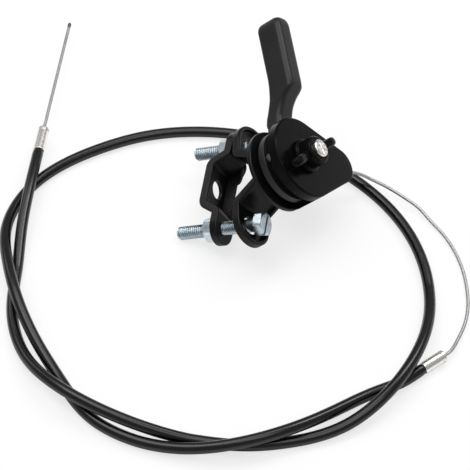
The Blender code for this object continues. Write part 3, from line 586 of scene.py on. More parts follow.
def sheath_vinyl(colour):
    """Drawn vinyl sheath: long faint draw lines, a soft ripple and a little dust."""
    made = Finish("sheath_vinyl", roughness=0.2, specular=0.48)
    along = made.node("ShaderNodeUVMap", {"uv_map": "surface"})
    lines = made.noise(1.0, 3.0, 0.6, along, (26.0, 30.0, 1.0))
    dust = made.noise(420.0, 5.0, 0.7)
    ripple = made.noise(1.0, 2.0, 0.5, along, (3.0, 140.0, 1.0))
    tone = made.blend(made.span(dust, 0.5, 0.85), colour, shade(colour, 2.4))
    height = 0.25 * lines + ripple
    return made.surface(tone, 0.15 + 0.1 * dust + 0.05 * lines, height, 0.00005)


def dark_solder(colour):
    """Dull solder: small dark and bright lumps. On the nipple its dark colour is painted shade."""
    made = Finish("dark_solder", metallic=1.0, roughness=0.45)
    lumps = made.noise(1400.0, 4.0)
    return made.surface(made.blend(lumps, shade(colour, 0.6), shade(colour, 1.4)), 0.3 + 0.3 * lumps, lumps, 0.00006)


def colour_setting(name, text, default):
    return bpy.props.FloatVectorProperty(name=name, description=text, subtype="COLOR", default=default)


def length_setting(name, text, default):
    return bpy.props.FloatProperty(name=name, description=text, default=default, unit="LENGTH")


class ThrottleSettings(bpy.types.PropertyGroup):
    """Sizes and colours of the throttle that can be changed."""

    paint: colour_setting("Paint", "Colour of the painted steel", (0.0032, 0.0032, 0.0034))
    plastic: colour_setting("Plastic", "Colour of the lever and the friction washer", (0.010, 0.010, 0.0108))
    cover: colour_setting("Cover", "Colour of the moulded cover and the wing nut", (0.0030, 0.0030, 0.0032))
    zinc: colour_setting("Zinc", "Colour of the plated bolts and nuts", (0.72, 0.84, 0.93))
    nickel: colour_setting("Nickel", "Colour of the ferrules and the stud", (0.90, 0.87, 0.83))
    wire: colour_setting("Wire", "Colour of the bare wire", (0.50, 0.50, 0.49))
    sheath: colour_setting("Sheath", "Colour of the cable sheath", (0.0022, 0.0022, 0.0024))
    # This colour is also painted shade on the nipple.
    solder: colour_setting("Solder", "Colour of the nipple and the soldered tip", (0.16, 0.155, 0.15))
    floor: colour_setting("Floor", "Colour of the floor", (0.93, 0.93, 0.93))
    thread_pitch: length_setting("Thread pitch", "Rise of the bolt thread in one turn", THREAD_PITCH)
    lay_length: length_setting("Lay length", "Length in which a strand goes once round", 0.011)
    rim_radius: length_setting("Rim radius", "Rounding on the rims of the clamp halves", 0.00072)
    cover_edge: length_setting("Cover edge", "Rounding on the cover's upper edge", 0.0009)


def settings():
    return bpy.context.scene.throttle


def finish_of(name):
    """The material of a finish, made the first time it is asked for."""
    makers = {
        "pressed_paint": (pressed_paint, "paint"),
        "satin_plastic": (satin_plastic, "plastic"),
        "cover_plastic": (gloss_plastic, "cover"),
        "zinc_plate": (zinc_plate, "zinc"),
        "bright_nickel": (bright_nickel, "nickel"),
        "laid_wire": (laid_wire, "wire"),
        "sheath_vinyl": (sheath_vinyl, "sheath"),
        "dark_solder": (dark_solder, "solder"),
    }
    found = bpy.data.materials.get(name)
    if found is not None:
        return found
    maker, colour = makers[name]
    return maker(tuple(getattr(settings(), colour)))


class Making(bpy.types.Operator):
    """Shared part of the operators, each of which makes one group of pieces."""

    bl_idname = "throttle.making"
    bl_label = "Make"
    bl_options = {"REGISTER", "UNDO"}

    def execute(self, context):
        self.make(context)
        return {"FINISHED"}

    def make(self, context):
        raise RuntimeError("this operator makes nothing by itself")


class MakeStage(Making):
    """Floor, world, softboxes and camera"""

    bl_idname = "throttle.stage"
    bl_label = "Stage"

    def make(self, context):
        scene = context.scene
        scene.view_settings.view_transform = "Standard"
        camera_data = bpy.data.cameras.new("camera")
        camera_data.lens, camera_data.sensor_width = 133.3, 36.0
        camera_data.clip_start, camera_data.clip_end = 0.01, 50.0
        camera = bpy.data.objects.new("camera", camera_data)
        camera.location = (-0.01315, -0.52633, 0.5952)
        camera.rotation_euler = (math.radians(40.0), 0.0, 0.0)
        scene.collection.objects.link(camera)
        scene.camera = camera

        span = np.linspace(-3.0, 3.0, 2)
        x, y = np.meshgrid(span, span)
        corners = columns(x.ravel(), y.ravel(), np.zeros(4) - 0.0001)
        mesh = bpy.data.meshes.new("floor")
        mesh.from_pydata(corners.tolist(), [], [(0, 1, 3, 2)])
        floor = bpy.data.objects.new("floor", mesh)
        scene.collection.objects.link(floor)
        pale = Finish("floor", roughness=0.8, specular=0.2)
        colour = tuple(settings().floor)
        grain = pale.noise(30.0, 2.0)
        pale.surface(pale.blend(grain, shade(colour, 0.995), colour))
        lit = pale.node("ShaderNodeEmission", None, {"Color": (1.0, 1.0, 1.0, 1.0), "Strength": 1.0})
        seen = pale.node("ShaderNodeLightPath", output="Is Camera Ray")
        shader = Value(pale, pale.shader.outputs[0])
        mixed = pale.node("ShaderNodeMixShader", None, {0: FLOOR_GLOW * seen, 1: shader, 2: lit})
        pale.feed(pale.tree.nodes["Material Output"].inputs["Surface"], mixed)
        mesh.materials.append(pale.material)

        world = bpy.data.worlds.new("studio")
        world.use_nodes = True
        scene.world = world
        studio = Nodes(world.node_tree)
        back = world.node_tree.nodes["Background"]
        back.inputs["Color"].default_value = (1.0, 1.0, 1.0, 1.0)
        camera_ray, glossy_ray, clear_ray = (
            studio.node("ShaderNodeLightPath", output="Is " + kind + " Ray")
            for kind in ("Camera", "Glossy", "Transmission")
        )
        mirrored = studio.node("ShaderNodeMath", {"operation": "MAXIMUM"}, {0: glossy_ray, 1: clear_ray})
        way = studio.node("ShaderNodeTexCoord", output="Generated")
        rise = studio.node("ShaderNodeSeparateXYZ", None, {0: way}, "Z")
        levels = {"Value": rise, "From Min": -0.25, "From Max": 0.12, "To Min": 1.0, "To Max": CEILING_LEVEL}
        ceiling = studio.node("ShaderNodeMapRange", None, levels)
        soft = studio.node("ShaderNodeMix", None, {0: mirrored, 2: FILL_LEVEL, 3: ceiling})
        studio.feed(back.inputs["Strength"], studio.node("ShaderNodeMix", None, {0: camera_ray, 2: soft, 3: 1.0}))

        for name, place, size, power in (
            ("softbox_back", (-0.1, 0.34, 1.0), (1.2, 0.46), 4.0),
            ("softbox_front", (-0.1, -0.18, 1.0), (1.2, 0.46), 3.8),
            ("softbox_left", (-0.72, 0.58, 0.62), (0.3, 0.4), 0.6),
            ("softbox_right", (0.50, 0.42, 0.80), (0.26, 0.42), 2.2),
        ):
            light = bpy.data.lights.new(name, "AREA")
            light.shape, light.size, light.size_y, light.energy = "RECTANGLE", size[0], size[1], power
            box = bpy.data.objects.new(name, light)
            box.location = place
            aim = -np.array(place)
            box.rotation_euler = (math.atan2(math.hypot(aim[0], aim[1]), -aim[2]), 0.0,
                                  math.atan2(aim[1], aim[0]) - math.pi / 2.0)
            scene.collection.objects.link(box)


class MakeBareWire(Making):
    """Bare wire between the cover and the ferrule at the lever end"""

    bl_idname = "throttle.bare_wire"
    bl_label = "Bare wire"

    def make(self, context):
        tangent = hub_points(WRAP_RADIUS, TANGENT_ANGLE, WIRE_LEVEL)
        run = [tangent + EXIT_WAY * FIT]
        run += [EXIT_SPOT - EXIT_WAY * back for back in (0.022, 0.012, 0.004)]
        run += [EXIT_SPOT + EXIT_WAY * 0.0015]
        run += list(np.array(WIRE_ROUTE) * 0.001)
        run += [FERRULE_MOUTH + LEAD_AXIS * 0.003, FERRULE_MOUTH - LEAD_AXIS * 0.0015]
        path = curve_through(run, 560)
        lengths = distance_along(path)
        split = int(np.argmin(np.linalg.norm(path - EXIT_SPOT, axis=1)))
        for name, part in (("wire_in_cover", slice(0, split + 1)), ("bare_wire", slice(split, None))):
            line, along = path[part], lengths[part]
            wire = laid(name, line, along, HOUSING, "core_wire_run")
            if name == "bare_wire":
                float(along[-1] - along[0])


class MakeSheath(Making):
    """Black sheath of the cable, in its loose turns"""

    bl_idname = "throttle.sheath"
    bl_label = "Sheath"

    def make(self, context):
        path = curve_through(np.array(SHEATH_ROUTE) * 0.001, 760)
        path[:, 2] = np.maximum(path[:, 2], SHEATH_RADIUS + 0.00005)
        lengths = distance_along(path)
        rings = swept(path, SHEATH_RADIUS, 28)
        end = path[-1]
        ahead = unit(path[-1] - path[-2])
        inside = lengths[-1] - lengths < 0.012
        bore = swept(path[inside], FERRULE_BORE, 28)[::-1]
        start = swept(path[:2], SHEATH_RADIUS - 0.0003, 28)[:1]
        rim = swept(np.stack((end - ahead * 0.00001, end)), SHEATH_RADIUS - 0.0003, 28)[1:]
        shell = np.concatenate((start, rings[1:-1], rim, bore))
        deep = np.concatenate((lengths[:1], lengths[1:-1], lengths[-1:], lengths[inside][::-1]))
        closed = capped(shell, path[0], path[inside][0])
        sheath = shaped("sheath", closed, lengths=with_ends(deep))
        finished(sheath, finish_of("sheath_vinyl"), HOUSING, ["cable_sheath"], even=False)


class MakeTail(Making):
    """Sliding tail of the wire with its soldered tip"""

    bl_idname = "throttle.tail"
    bl_label = "Tail of the wire"

    def make(self, context):
        high = ENGINE_FERRULE + TAIL_REACH
        low = high - TIP_LENGTH
        start, end = ENGINE_FERRULE - 0.0015, low - FIT
        heights = np.linspace(start, end, 200)
        flat = columns(0.0 * heights, 0.0 * heights, heights)
        path = placed(flat, ENGINE_PLACE)
        lengths = heights - start
        wire = laid("wire_tail", path, lengths, "inner_wire", "core_wire_tail")
        profile = soft_line(
            [(0.0, low), (0.00078, low), (0.00085, low + 0.0006), (0.00085, high - 0.0008), (0.0004, high),
             (0.0, high)],
            (0.0001, 0.0002, 0.0004, 0.0002), 4,
        )
        tip = turned("wire_tip", profile, ENGINE_PLACE, 32)
        finished(tip, finish_of("dark_solder"), "inner_wire", ["wire_end_tip"])
        tuple(placed((0.0, 0.0, ENGINE_FERRULE), ENGINE_PLACE))


class MakeFerrules(Making):
    """Two plated ferrules, each with a ring and a rounded mouth"""

    bl_idname = "throttle.ferrules"
    bl_label = "Ferrules"

    def make(self, context):
        for name, node, place, length in (
            ("ferrule_lever", "ferrule_lever_end", LEAD_PLACE, LEVER_FERRULE),
            ("ferrule_engine", "ferrule_engine_end", ENGINE_PLACE, ENGINE_FERRULE),
        ):
            outer, bore = FERRULE_RADIUS, FERRULE_BORE
            made = turned_ring(
                name,
                [(bore, 0.0), (outer - 0.0001, 0.0), (outer - 0.0001, length - 0.0022),
                 (outer - 0.0004, length - 0.0020), (outer - 0.0004, length - 0.0015), (outer, length - 0.0013),
                 (outer, length), (bore + 0.0004, length), (bore, length - 0.0005)],
                (0.0001, 0.0003, 0.0001, 0.0001, 0.0001, 0.0001, 0.0005, 0.0002, 0.0002), 4, place, 64,
            )
            finished(made, finish_of("bright_nickel"), HOUSING, [node])


def hexagon(angle, flats, clip):
    """Radius of a hexagon: half the width across flats over the cosine of the turn from a flat's middle."""
    off = (np.degrees(angle) % 60.0) - 30.0
    return np.minimum(flats / 2.0 / np.cos(np.radians(off)), clip)


class MakeBolts(Making):
    """Slotted hexagon bolts with their threads"""

    bl_idname = "throttle.bolts"
    bl_label = "Clamp bolts"

    def make(self, context):
        angle = whole_turn(72)
        pitch = settings().thread_pitch
        for label, place, length in (("near", NEAR_PLACE, 0.040), ("far", FAR_PLACE, 0.035)):
            threaded = length - 0.008
            z = np.arange(0.0, threaded + 0.002, pitch / 11.0)
            turn = (z[:, None] / pitch - angle[None] / (2.0 * math.pi)) % 1.0
            ridge = np.clip((np.abs(2.0 * turn - 1.0) - 0.1) / 0.78, 0.0, 1.0)
            fade = np.clip((threaded + 0.0012 - z) / 0.0012, 0.0, 1.0)[:, None]
            radius = np.minimum(BOLT_RADIUS - 0.00052 * ridge * fade, BOLT_RADIUS - 0.0007 + z[:, None])
            shank = round_rings(radius, z[:, None], angle)
            top = length + 0.004
            rise = np.concatenate(([length - 0.0001, length], np.linspace(length + 0.0002, top - 0.0008, 5),
                                   np.linspace(top - 0.00068, top, 9)))
            cone = CHAMFER_RADIUS + (top - rise[:, None]) * CHAMFER_SLOPE
            wide = np.minimum(hexagon(angle, HEX, HEX_CORNER)[None], cone)
            wide[:1] = BOLT_RADIUS
            wide[1] = np.minimum(hexagon(angle, HEX, 0.0054), 0.0052)
            head = round_rings(wide, rise[:, None], angle)
            flat = np.array((0.0038, 0.0024, 0.0012))[:, None]
            face = round_rings(flat, top + 0.0 * flat, angle)
            rings = capped(np.concatenate((shank, head, face)), (0.0, 0.0, 0.0), (0.0, 0.0, top))
            bolt = shaped("bolt_" + label, rings, place)
            span = np.array(((-0.0007, -1.0), (0.0007, -1.0), (0.0007, 1.0), (-0.0007, 1.0)))
            box = [[(s * 0.008, y, top - 0.0016 if low < 0 else top + 0.002) for y, low in span] for s in (-1, 1)]
            middle = np.array(box)
            slot = shaped("slot", capped(middle, middle[0].mean(0), middle[1].mean(0)), place)
            combined(bolt, slot, "DIFFERENCE")
            colour = tuple(settings().zinc)
            look = zinc_plate(colour, "zinc_thread_" + label, tuple(place[:3, 3]), tuple(place[:3, 2]), threaded)
            finished(bolt, look, HOUSING, ["clamp_bolt_" + label], 40.0, even=False)


class MakeNuts(Making):
    """Hexagon nuts and flat washers on the outer side of the strap"""

    bl_idname = "throttle.nuts"
    bl_label = "Nuts and washers"

    def make(self, context):
        angle = whole_turn(72)
        for label, place, seat in (
            ("near", NEAR_PLACE, NEAR_BOLT_PROTRUSION),
            ("far", FAR_PLACE, FAR_BOLT_PROTRUSION),
        ):
            inner = BOLT_RADIUS + RUNNING_FIT
            high, low = seat - FIT, seat - FIT - 0.0012
            washer = turned_ring(
                "washer_" + label, [(inner, low), (0.0057, low), (0.0057, high), (inner, high)],
                (0.0001, 0.00035, 0.00015, 0.0001), 4, place, 80,
            )
            finished(washer, finish_of("zinc_plate"), HOUSING, ["clamp_washer_" + label])
            top = low - FIT
            base = top - 0.005
            z = np.concatenate((np.linspace(base, base + 0.0007, 8), np.linspace(base + 0.0012, top - 0.0012, 4),
                                np.linspace(top - 0.0007, top, 8)))[:, None]
            cone = CHAMFER_RADIUS + np.minimum(top - z, z - base) * CHAMFER_SLOPE
            turnover = angle - math.radians(HEX_TURN)
            wide = np.minimum(hexagon(turnover, HEX, HEX_CORNER)[None], cone)
            bore = np.array((inner + 0.0005, inner, inner, inner + 0.0005))[:, None] + 0.0 * angle
            depth = np.array((top, top - 0.0005, base + 0.0005, base))[:, None]
            rings = round_rings(np.concatenate((wide, bore)), np.concatenate((z, depth)), angle)
            nut = shaped("nut_" + label, rings, place, loop=True)
            finished(nut, finish_of("zinc_plate"), HOUSING, ["clamp_nut_" + label], 28.0)


def pressed_half(name, place, half_pitch, width, rise, seat, flat, press, bend, rim, holes, flange=0.0):
    """A pressed plate with a rim: a rim's section is carried round a stadium, then laid on a bent line.

    The stadium lies in distance along the line and distance across it. A point at height h above it
    goes to the line's own point plus h times the line's normal. A flange goes down from the long side
    with positive Y, deepest in the middle and fading out by a cosine towards the bolt seats.
    """
    thick, high = PLATE_THICKNESS, 0.002
    step, reach = half_pitch - seat, half_pitch + width
    corners = [(-reach, 0.0), (-step, 0.0), (-flat / 2.0, rise), (flat / 2.0, rise), (step, 0.0), (reach, 0.0)]
    line = soft_line(corners, (press, bend, bend, press), 90)
    rough = distance_along(line)
    even = np.linspace(0.0, rough[-1], 6000)
    line = np.stack([np.interp(even, rough, line[:, axis]) for axis in (0, 1)], axis=-1)
    ahead = unit(np.gradient(line, axis=0))
    normal = columns(-ahead[:, 1], ahead[:, 0])
    even = even - even[-1] / 2.0
    half = float(np.interp(half_pitch, line[:, 0], even))
    outer = width / 2.0
    rounding = settings().rim_radius
    section = soft_line(
        [(outer, -thick), (0.0, -thick), (0.0, high), (rim, high), (rim, 0.0), (outer, 0.0)],
        (0.0005, rounding, min(rounding, rim / 2.0), 0.0010),
        6,
    )
    middle = np.array(((outer * 0.66, 0.0), (outer * 0.33, 0.0)))
    floor = middle + (0.0, -thick)
    section = np.concatenate((section[:1], floor[::-1], section[1:-1], middle[::-1], section[-1:]))
    section[1:3, 0] = (outer * 0.8, outer * 0.5)
    section[-3:-1, 0] = (outer * 0.5, outer * 0.8)
    turn = np.linspace(-math.pi / 2.0, math.pi / 2.0, 33)
    straight = np.linspace(half, -half, 121)[1:-1]
    first = columns(half + 0.0 * turn, np.cos(turn), np.sin(turn))
    upper = columns(straight, 0.0 * straight, 1.0 + 0.0 * straight)
    second = columns(-half + 0.0 * turn, -np.cos(turn), -np.sin(turn))
    lower = columns(straight[::-1], 0.0 * straight, -1.0 + 0.0 * straight)
    around = np.concatenate((first, upper, second, lower))
    if flange:
        cut = int(np.argmax(section[:, 0] < outer * 0.5 - 1e-6))
        inner = np.array(((0.0018, -thick), (0.0016, -thick - 1e-6), (0.0013, -thick - 2e-6), (0.0010, -thick - 2e-6)))
        section = np.concatenate((section[:cut], inner, section[cut:]))
    radius, level = (outer - section[:, 0])[:, None], section[:, 1][:, None]
    s = around[None, :, 0] + radius * around[None, :, 1]
    y = radius * around[None, :, 2]
    h = level + 0.0 * s
    if flange:
        deep = np.zeros(len(section))
        deep[cut + 1:cut + 4] = (0.55, 0.97, 1.0)
        deep[cut + 4:][section[cut + 4:, 1] < -thick + 0.0006] = 1.0
        fade = np.clip(1.0 - np.abs(s) / (half - 0.0035), 0.0, 1.0)
        fade = (0.5 - 0.5 * np.cos(math.pi * np.minimum(1.0, fade * 3.2))) * (y > 0.0)
        y = y + 0.0013 * fade * np.clip(y / outer, 0.0, 1.0)
        h = level * (1.0 - (level > 0.0) * 0.65 * fade) - flange * deep[:, None] * fade
    x = np.interp(s, even, line[:, 0]) + h * np.interp(s, even, normal[:, 0])
    z = np.interp(s, even, line[:, 1]) + h * np.interp(s, even, normal[:, 1])
    plate = shaped(name, columns(x, y, z), place)
    for centre, diameter, low, top in holes:
        drill = turned("drill", [(diameter / 2.0, low), (diameter / 2.0, top)], moved(place, x=centre), 64)
        combined(plate, drill, "DIFFERENCE")
    return plate


class MakeClamp(Making):
    """Pressed base bracket and pressed strap"""

    bl_idname = "throttle.clamp"
    bl_label = "Clamp halves"

    def make(self, context):
        base = pressed_half(
            "base_bracket_shell", BASE_PLACE, BASE_HALF, 0.020, BASE_RISE, 0.0080, 0.0124, 0.0022, 0.0026, 0.002,
            ((0.0, 2.0 * BORE, 0.008, 0.02), (-BASE_HALF, 0.0085, -0.005, 0.005), (BASE_HALF, 0.0085, -0.005, 0.005)),
        )
        finished(base, finish_of("pressed_paint"), HOUSING, ["base_bracket"])
        half = BOLT_SPACING / 2.0
        strap = pressed_half(
            "clamp_strap_shell", STRAP_PLACE, half, 0.015, 0.0077, 0.0058, 0.021, 0.0022, 0.0035, 0.0015,
            ((0.0, 0.0085, 0.004, 0.02), (-half, 0.0066, -0.005, 0.005), (half, 0.0066, -0.005, 0.005)),
            0.0045,
        )
        finished(strap, finish_of("pressed_paint"), HOUSING, ["clamp_strap"])


class MakePlates(Making):
    """Round steel plate under the lever, and the friction washer on it"""

    bl_idname = "throttle.plates"
    bl_label = "Plate and friction washer"

    def make(self, context):
        plate = turned_ring(
            "round_plate", [(BORE, 0.0), (0.0186, 0.0), (0.0186, PLATE_HIGH), (BORE, PLATE_HIGH)],
            (0.0002, 0.0004, 0.0005, 0.0002), 5, HUB_PLACE, 160,
        )
        finished(plate, finish_of("pressed_paint"), HOUSING, ["hub_plate"])
        washer = turned_ring(
            "friction_disc", [(BORE, WASHER_LOW), (0.012, WASHER_LOW), (0.012, WASHER_HIGH), (BORE, WASHER_HIGH)],
            (0.0001, 0.0002, 0.0002, 0.0001), 4, HUB_PLACE, 96,
        )
        finished(washer, finish_of("satin_plastic"), HOUSING, ["friction_washer"])


def box_section(half, low, high, upper, lower, steps=8):
    """A rounded rectangle across the arm: two larger arcs above and two smaller arcs below, as arrays."""
    quarter = np.linspace(0.0, math.pi / 2.0, steps + 1)
    rows = []
    for start, radius, side, edge, sign in (
        (0.0, upper, 1.0, high, -1.0),
        (1.0, upper, -1.0, high, -1.0),
        (2.0, lower, -1.0, low, 1.0),
        (3.0, lower, 1.0, low, 1.0),
    ):
        angle = quarter + start * math.pi / 2.0
        x = side * (half - radius)[:, None] + radius[:, None] * np.cos(angle)
        z = (edge + sign * radius)[:, None] + radius[:, None] * np.sin(angle)
        rows.append(columns(x, z))
    loops = []
    for here, on in zip(rows, rows[1:] + rows[:1]):
        share = np.array((0.25, 0.5, 0.75))[None, :, None]
        loops += [here, here[:, -1:] * (1.0 - share) + on[:, :1] * share]
    return np.concatenate(loops, axis=1)


class MakeLever(Making):
    """Grooved hub of the lever with its cranked arm and grip"""

    bl_idname = "throttle.lever"
    bl_label = "Lever"

    def make(self, context):
        hub = turned_ring(
            "lever_shell",
            [(BORE, LEVER_LOW), (0.0161, LEVER_LOW), (0.0161, GROOVE_LOW), (0.0125, GROOVE_LOW),
             (0.0125, GROOVE_HIGH), (0.0148, GROOVE_HIGH), (0.0148, LEVER_HIGH), (BORE, LEVER_HIGH)],
            (0.0001, 0.0006, 0.0004, 0.0001, 0.0001, 0.0002, 0.0003, 0.0001), 4, HUB_PLACE, 128,
        )
        rim_low = COVER_TOP - 0.0045 - FIT
        root_low, root_high = LEVER_LOW + 0.0002, GROOVE_LOW - 0.0002
        grip_low = LEVER_LOW + 0.0048
        grip_high = grip_low + 0.0124
        neck, grip, start, reach = 0.0051, 0.0049, 0.0336, 0.0681
        sections = np.array([
            (0.007, root_low, root_high, neck + 0.0013),
            (0.0153, root_low, root_high, neck + 0.0011),
            (0.0173, root_low, rim_low - 0.0016, neck + 0.0008),
            (start - 0.0142, root_low - 0.0006, rim_low - 0.0003, neck + 0.0005),
            (start - 0.0116, root_low - 0.0002, rim_low - 0.0001, neck + 0.0002),
            (start - 0.0091, root_low + 0.0008, rim_low + 0.0008, neck),
            (start - 0.0062, root_low + 0.0020, rim_low + 0.0024, neck - 0.0001),
            (start - 0.0043, grip_low - 0.0018, rim_low + 0.0040, grip + 0.0001),
            (start - 0.0029, grip_low - 0.0014, grip_high - 0.0035, grip),
            (start - 0.0016, grip_low - 0.0011, grip_high - 0.0016, grip),
            (start, grip_low - 0.0008, grip_high - 0.0003, grip),
            (start + 0.0030, grip_low - 0.0003, grip_high, grip),
            (start + 0.0075, grip_low, grip_high, grip),
            (start + 0.0170, grip_low, grip_high, grip),
            (reach - 0.0042, grip_low, grip_high, grip),
            (reach - 0.0028, grip_low + 0.0001, grip_high - 0.0001, grip - 0.0002),
            (reach - 0.0016, grip_low + 0.0005, grip_high - 0.0003, grip - 0.0006),
            (reach - 0.0006, grip_low + 0.0013, grip_high - 0.0008, grip - 0.0013),
            (reach, grip_low + 0.0025, grip_high - 0.0016, grip - 0.0023),
        ])
        q = np.unique(np.concatenate((
            np.linspace(0.007, 0.0153, 4), np.linspace(0.0153, start, 44), np.linspace(start, start + 0.012, 20),
            np.linspace(start + 0.012, reach - 0.0042, 14), np.linspace(reach - 0.0042, reach, 18))))
        low, high, half = (eased(sections[:, 0], sections[:, column], q) for column in (1, 2, 3))
        upper = np.minimum(np.minimum(0.0026, 0.40 * (high - low)), 0.9 * half)
        flat = box_section(half, low, high, upper, upper * 0.55)
        rings = np.concatenate((flat[..., :1], np.broadcast_to(q[:, None, None], flat[..., :1].shape),
                                flat[..., 1:]), axis=-1)
        middle = rings[-1].mean(0)
        shrink = np.array((0.9, 0.6, 0.3))[:, None, None]
        cap = middle + (rings[-1] - middle)[None] * shrink
        arm = shaped("arm", capped(np.concatenate((rings, cap)), rings[0].mean(0), middle), HUB_PLACE)
        combined(hub, arm, "UNION")
        spot = nipple_spot()
        place = moved(HUB_PLACE, x=spot[0], y=spot[1])
        wide = NIPPLE_RADIUS + FIT
        pocket = turned("pocket", [(wide, WIRE_LEVEL - NIPPLE_HALF - FIT), (wide, LEVER_HIGH + 0.002)], place, 40)
        combined(hub, pocket, "DIFFERENCE")
        finished(hub, finish_of("satin_plastic"), "lever", ["throttle_lever"])
        profile = soft_line(
            [(0.0, WIRE_LEVEL - NIPPLE_HALF), (NIPPLE_RADIUS, WIRE_LEVEL - NIPPLE_HALF),
             (NIPPLE_RADIUS, WIRE_LEVEL + NIPPLE_HALF), (0.0, WIRE_LEVEL + NIPPLE_HALF)], (0.0003, 0.0003), 4,
        )
        nipple = turned("nipple", profile, place, 40)
        # The nipple takes the dark solder finish: its dark colour is painted shade in the window of the cover.
        finished(nipple, finish_of("dark_solder"), "lever", ["cable_nipple"])


class MakeWrap(Making):
    """Bare wire in the lever's groove"""

    bl_idname = "throttle.wrap"
    bl_label = "Wire in the groove"

    def make(self, context):
        gap = math.degrees(FIT / WRAP_RADIUS)
        turn = np.linspace(TANGENT_ANGLE + gap, NIPPLE_ANGLE - NIPPLE_SWEEP, 80)
        path = hub_points(WRAP_RADIUS, turn, WIRE_LEVEL)
        centre = placed((*nipple_spot(), WIRE_LEVEL), HUB_PLACE)
        last = centre + unit(path[-1] - centre) * (NIPPLE_RADIUS + FIT)
        path = np.concatenate((path, last[None]))
        laid("wire_wrap", path, distance_along(path), "lever", "core_wire_wrap", HUB_AXIS)


def nose_line(inset):
    """The line round two circles, drawn in by an inset: two arcs and the two lines that touch both."""
    big, small = COVER_RADIUS - inset, NOSE_RADIUS - inset
    spread = math.acos((big - small) / NOSE_DISTANCE)
    lean = math.radians(NOSE_ANGLE)
    centre = NOSE_DISTANCE * np.array((math.cos(lean), math.sin(lean)))
    wide = lean + spread + (2.0 * math.pi - 2.0 * spread) * np.linspace(0.0, 1.0, 97)
    tight = lean - spread + 2.0 * spread * np.linspace(0.0, 1.0, 49)
    back = big * columns(np.cos(wide), np.sin(wide))
    front = centre + small * columns(np.cos(tight), np.sin(tight))
    share = np.linspace(0.0, 1.0, 10)[1:-1, None]
    lower = back[-1] * (1.0 - share) + front[0] * share
    upper = front[-1] * (1.0 - share) + back[0] * share
    return np.concatenate((back, lower, front, upper))


def at_height(line, z):
    return np.concatenate((line, np.full((len(line), 1), z)), axis=1)


class MakeCover(Making):
    """Moulded cover with its nose, where the wire leaves it"""

    bl_idname = "throttle.cover"
    bl_label = "Cover"

    def make(self, context):
        skirt, wall = PLATE_HIGH + FIT, 0.002
        boss, boss_low = 0.0065, LEVER_HIGH + FIT
        edge = settings().cover_edge
        outline = soft_line(
            [(0.0058, COVER_INSIDE), (wall, COVER_INSIDE), (wall, skirt), (0.0, skirt), (0.0, COVER_TOP),
             (0.0058, COVER_TOP)],
            (0.0012, 0.0003, 0.0003, edge), 6,
        )
        centre = soft_line(
            [(0.0075, COVER_TOP), (BORE, COVER_TOP), (BORE, boss_low), (boss, boss_low), (boss, COVER_INSIDE),
             (0.0075, COVER_INSIDE)],
            (0.0003, 0.0002, 0.0003, 0.0005), 4,
        )
        rows = [at_height(nose_line(inset), z) for inset, z in outline]
        rim = nose_line(0.0058)
        way = rim / np.linalg.norm(rim, axis=1, keepdims=True)
        middle = [at_height(way * radius, z) for radius, z in centre]
        share = np.array((0.33, 0.67))
        top = [rows[-1] * (1.0 - part) + middle[0] * part for part in share]
        under = [middle[-1] * (1.0 - part) + rows[0] * part for part in share]
        cover = shaped("cover_shell", np.array(rows + top + middle + under), HUB_PLACE, loop=True)
        window = block("window", (-0.05, 0.0068), (-0.05, 0.05), (skirt - 0.002, COVER_TOP - 0.0045), HUB_PLACE)
        combined(cover, window, "DIFFERENCE")
        level = COVER_INSIDE + wall / 2.0 - WIRE_LEVEL
        stop = block("stop", (-0.0088, 0.004), (-0.005, 0.005), (-0.005, level), EXIT_PLACE)
        flat = nose_line(wall / 2.0)
        limit = np.array([at_height(flat, z) for z in (skirt, COVER_TOP - 0.001)])
        combined(stop, shaped("limit", capped(limit, (0.0, 0.0, skirt), (0.0, 0.0, COVER_TOP - 0.001)), HUB_PLACE),
                 "INTERSECT")
        combined(cover, stop, "UNION")
        bore = [(0.00105, -0.02), (0.00105, -0.006), (0.00305, -0.006), (0.00305, 0.01)]
        combined(cover, turned("bore", bore, ALONG_EXIT, 48), "DIFFERENCE")
        finished(cover, finish_of("cover_plastic"), HOUSING, ["cable_cover"])


class MakeWingNut(Making):
    """Moulded wing nut with a stepped boss"""

    bl_idname = "throttle.wing_nut"
    bl_label = "Wing nut"

    def make(self, context):
        nut = turned_ring(
            "wing_nut_shell",
            [(BORE, WING_LOW), (0.0078, WING_LOW), (0.0078, WING_SHOULDER), (0.0066, WING_SHOULDER + 0.0002),
             (0.0064, WING_HIGH), (BORE, WING_HIGH)],
            (0.0002, 0.0003, 0.0005, 0.0004, 0.0008, 0.0003), 5, HUB_PLACE, 96,
        )
        low = WING_SHOULDER - 0.0004
        high = low + 0.0060
        known = np.array((-0.018, -0.0168, -0.0145, -0.0066, 0.0066, 0.0145, 0.0168, 0.018))
        under = np.array((low + 0.0026, low + 0.0011, low + 0.0004, low, low, low + 0.0004, low + 0.0011, low + 0.0026))
        over = np.array((high - 0.0020, high - 0.0003, high, high - 0.0008, high - 0.0008, high, high - 0.0003,
                         high - 0.0020))
        thick = np.array((0.0010, 0.0019, 0.0021, 0.0021, 0.0021, 0.0021, 0.0019, 0.0010))
        x = np.unique(np.concatenate((np.linspace(-0.018, -0.0145, 14), np.linspace(-0.0145, 0.0145, 30),
                                      np.linspace(0.0145, 0.018, 14))))
        bottom, top, half = (eased(known, values, x) for values in (under, over, thick))
        upper = np.minimum(np.minimum(0.0014, 0.42 * (top - bottom)), 0.85 * half)
        flat = box_section(half, bottom, top, upper, upper * 0.9)
        rings = np.concatenate((np.broadcast_to(x[:, None, None], flat[..., :1].shape), flat[..., :1],
                                flat[..., 1:]), axis=-1)
        ears = shaped("ears", capped(rings, rings[0].mean(0), rings[-1].mean(0)), moved(HUB_PLACE, turn=30.0))
        combined(nut, ears, "UNION")
        hole = turned("hole", [(BORE, WING_LOW - 0.001), (BORE, WING_HIGH + 0.001)], HUB_PLACE, 96)
        combined(nut, hole, "DIFFERENCE")
        finished(nut, finish_of("cover_plastic"), "wing_nut", ["wing_nut"])


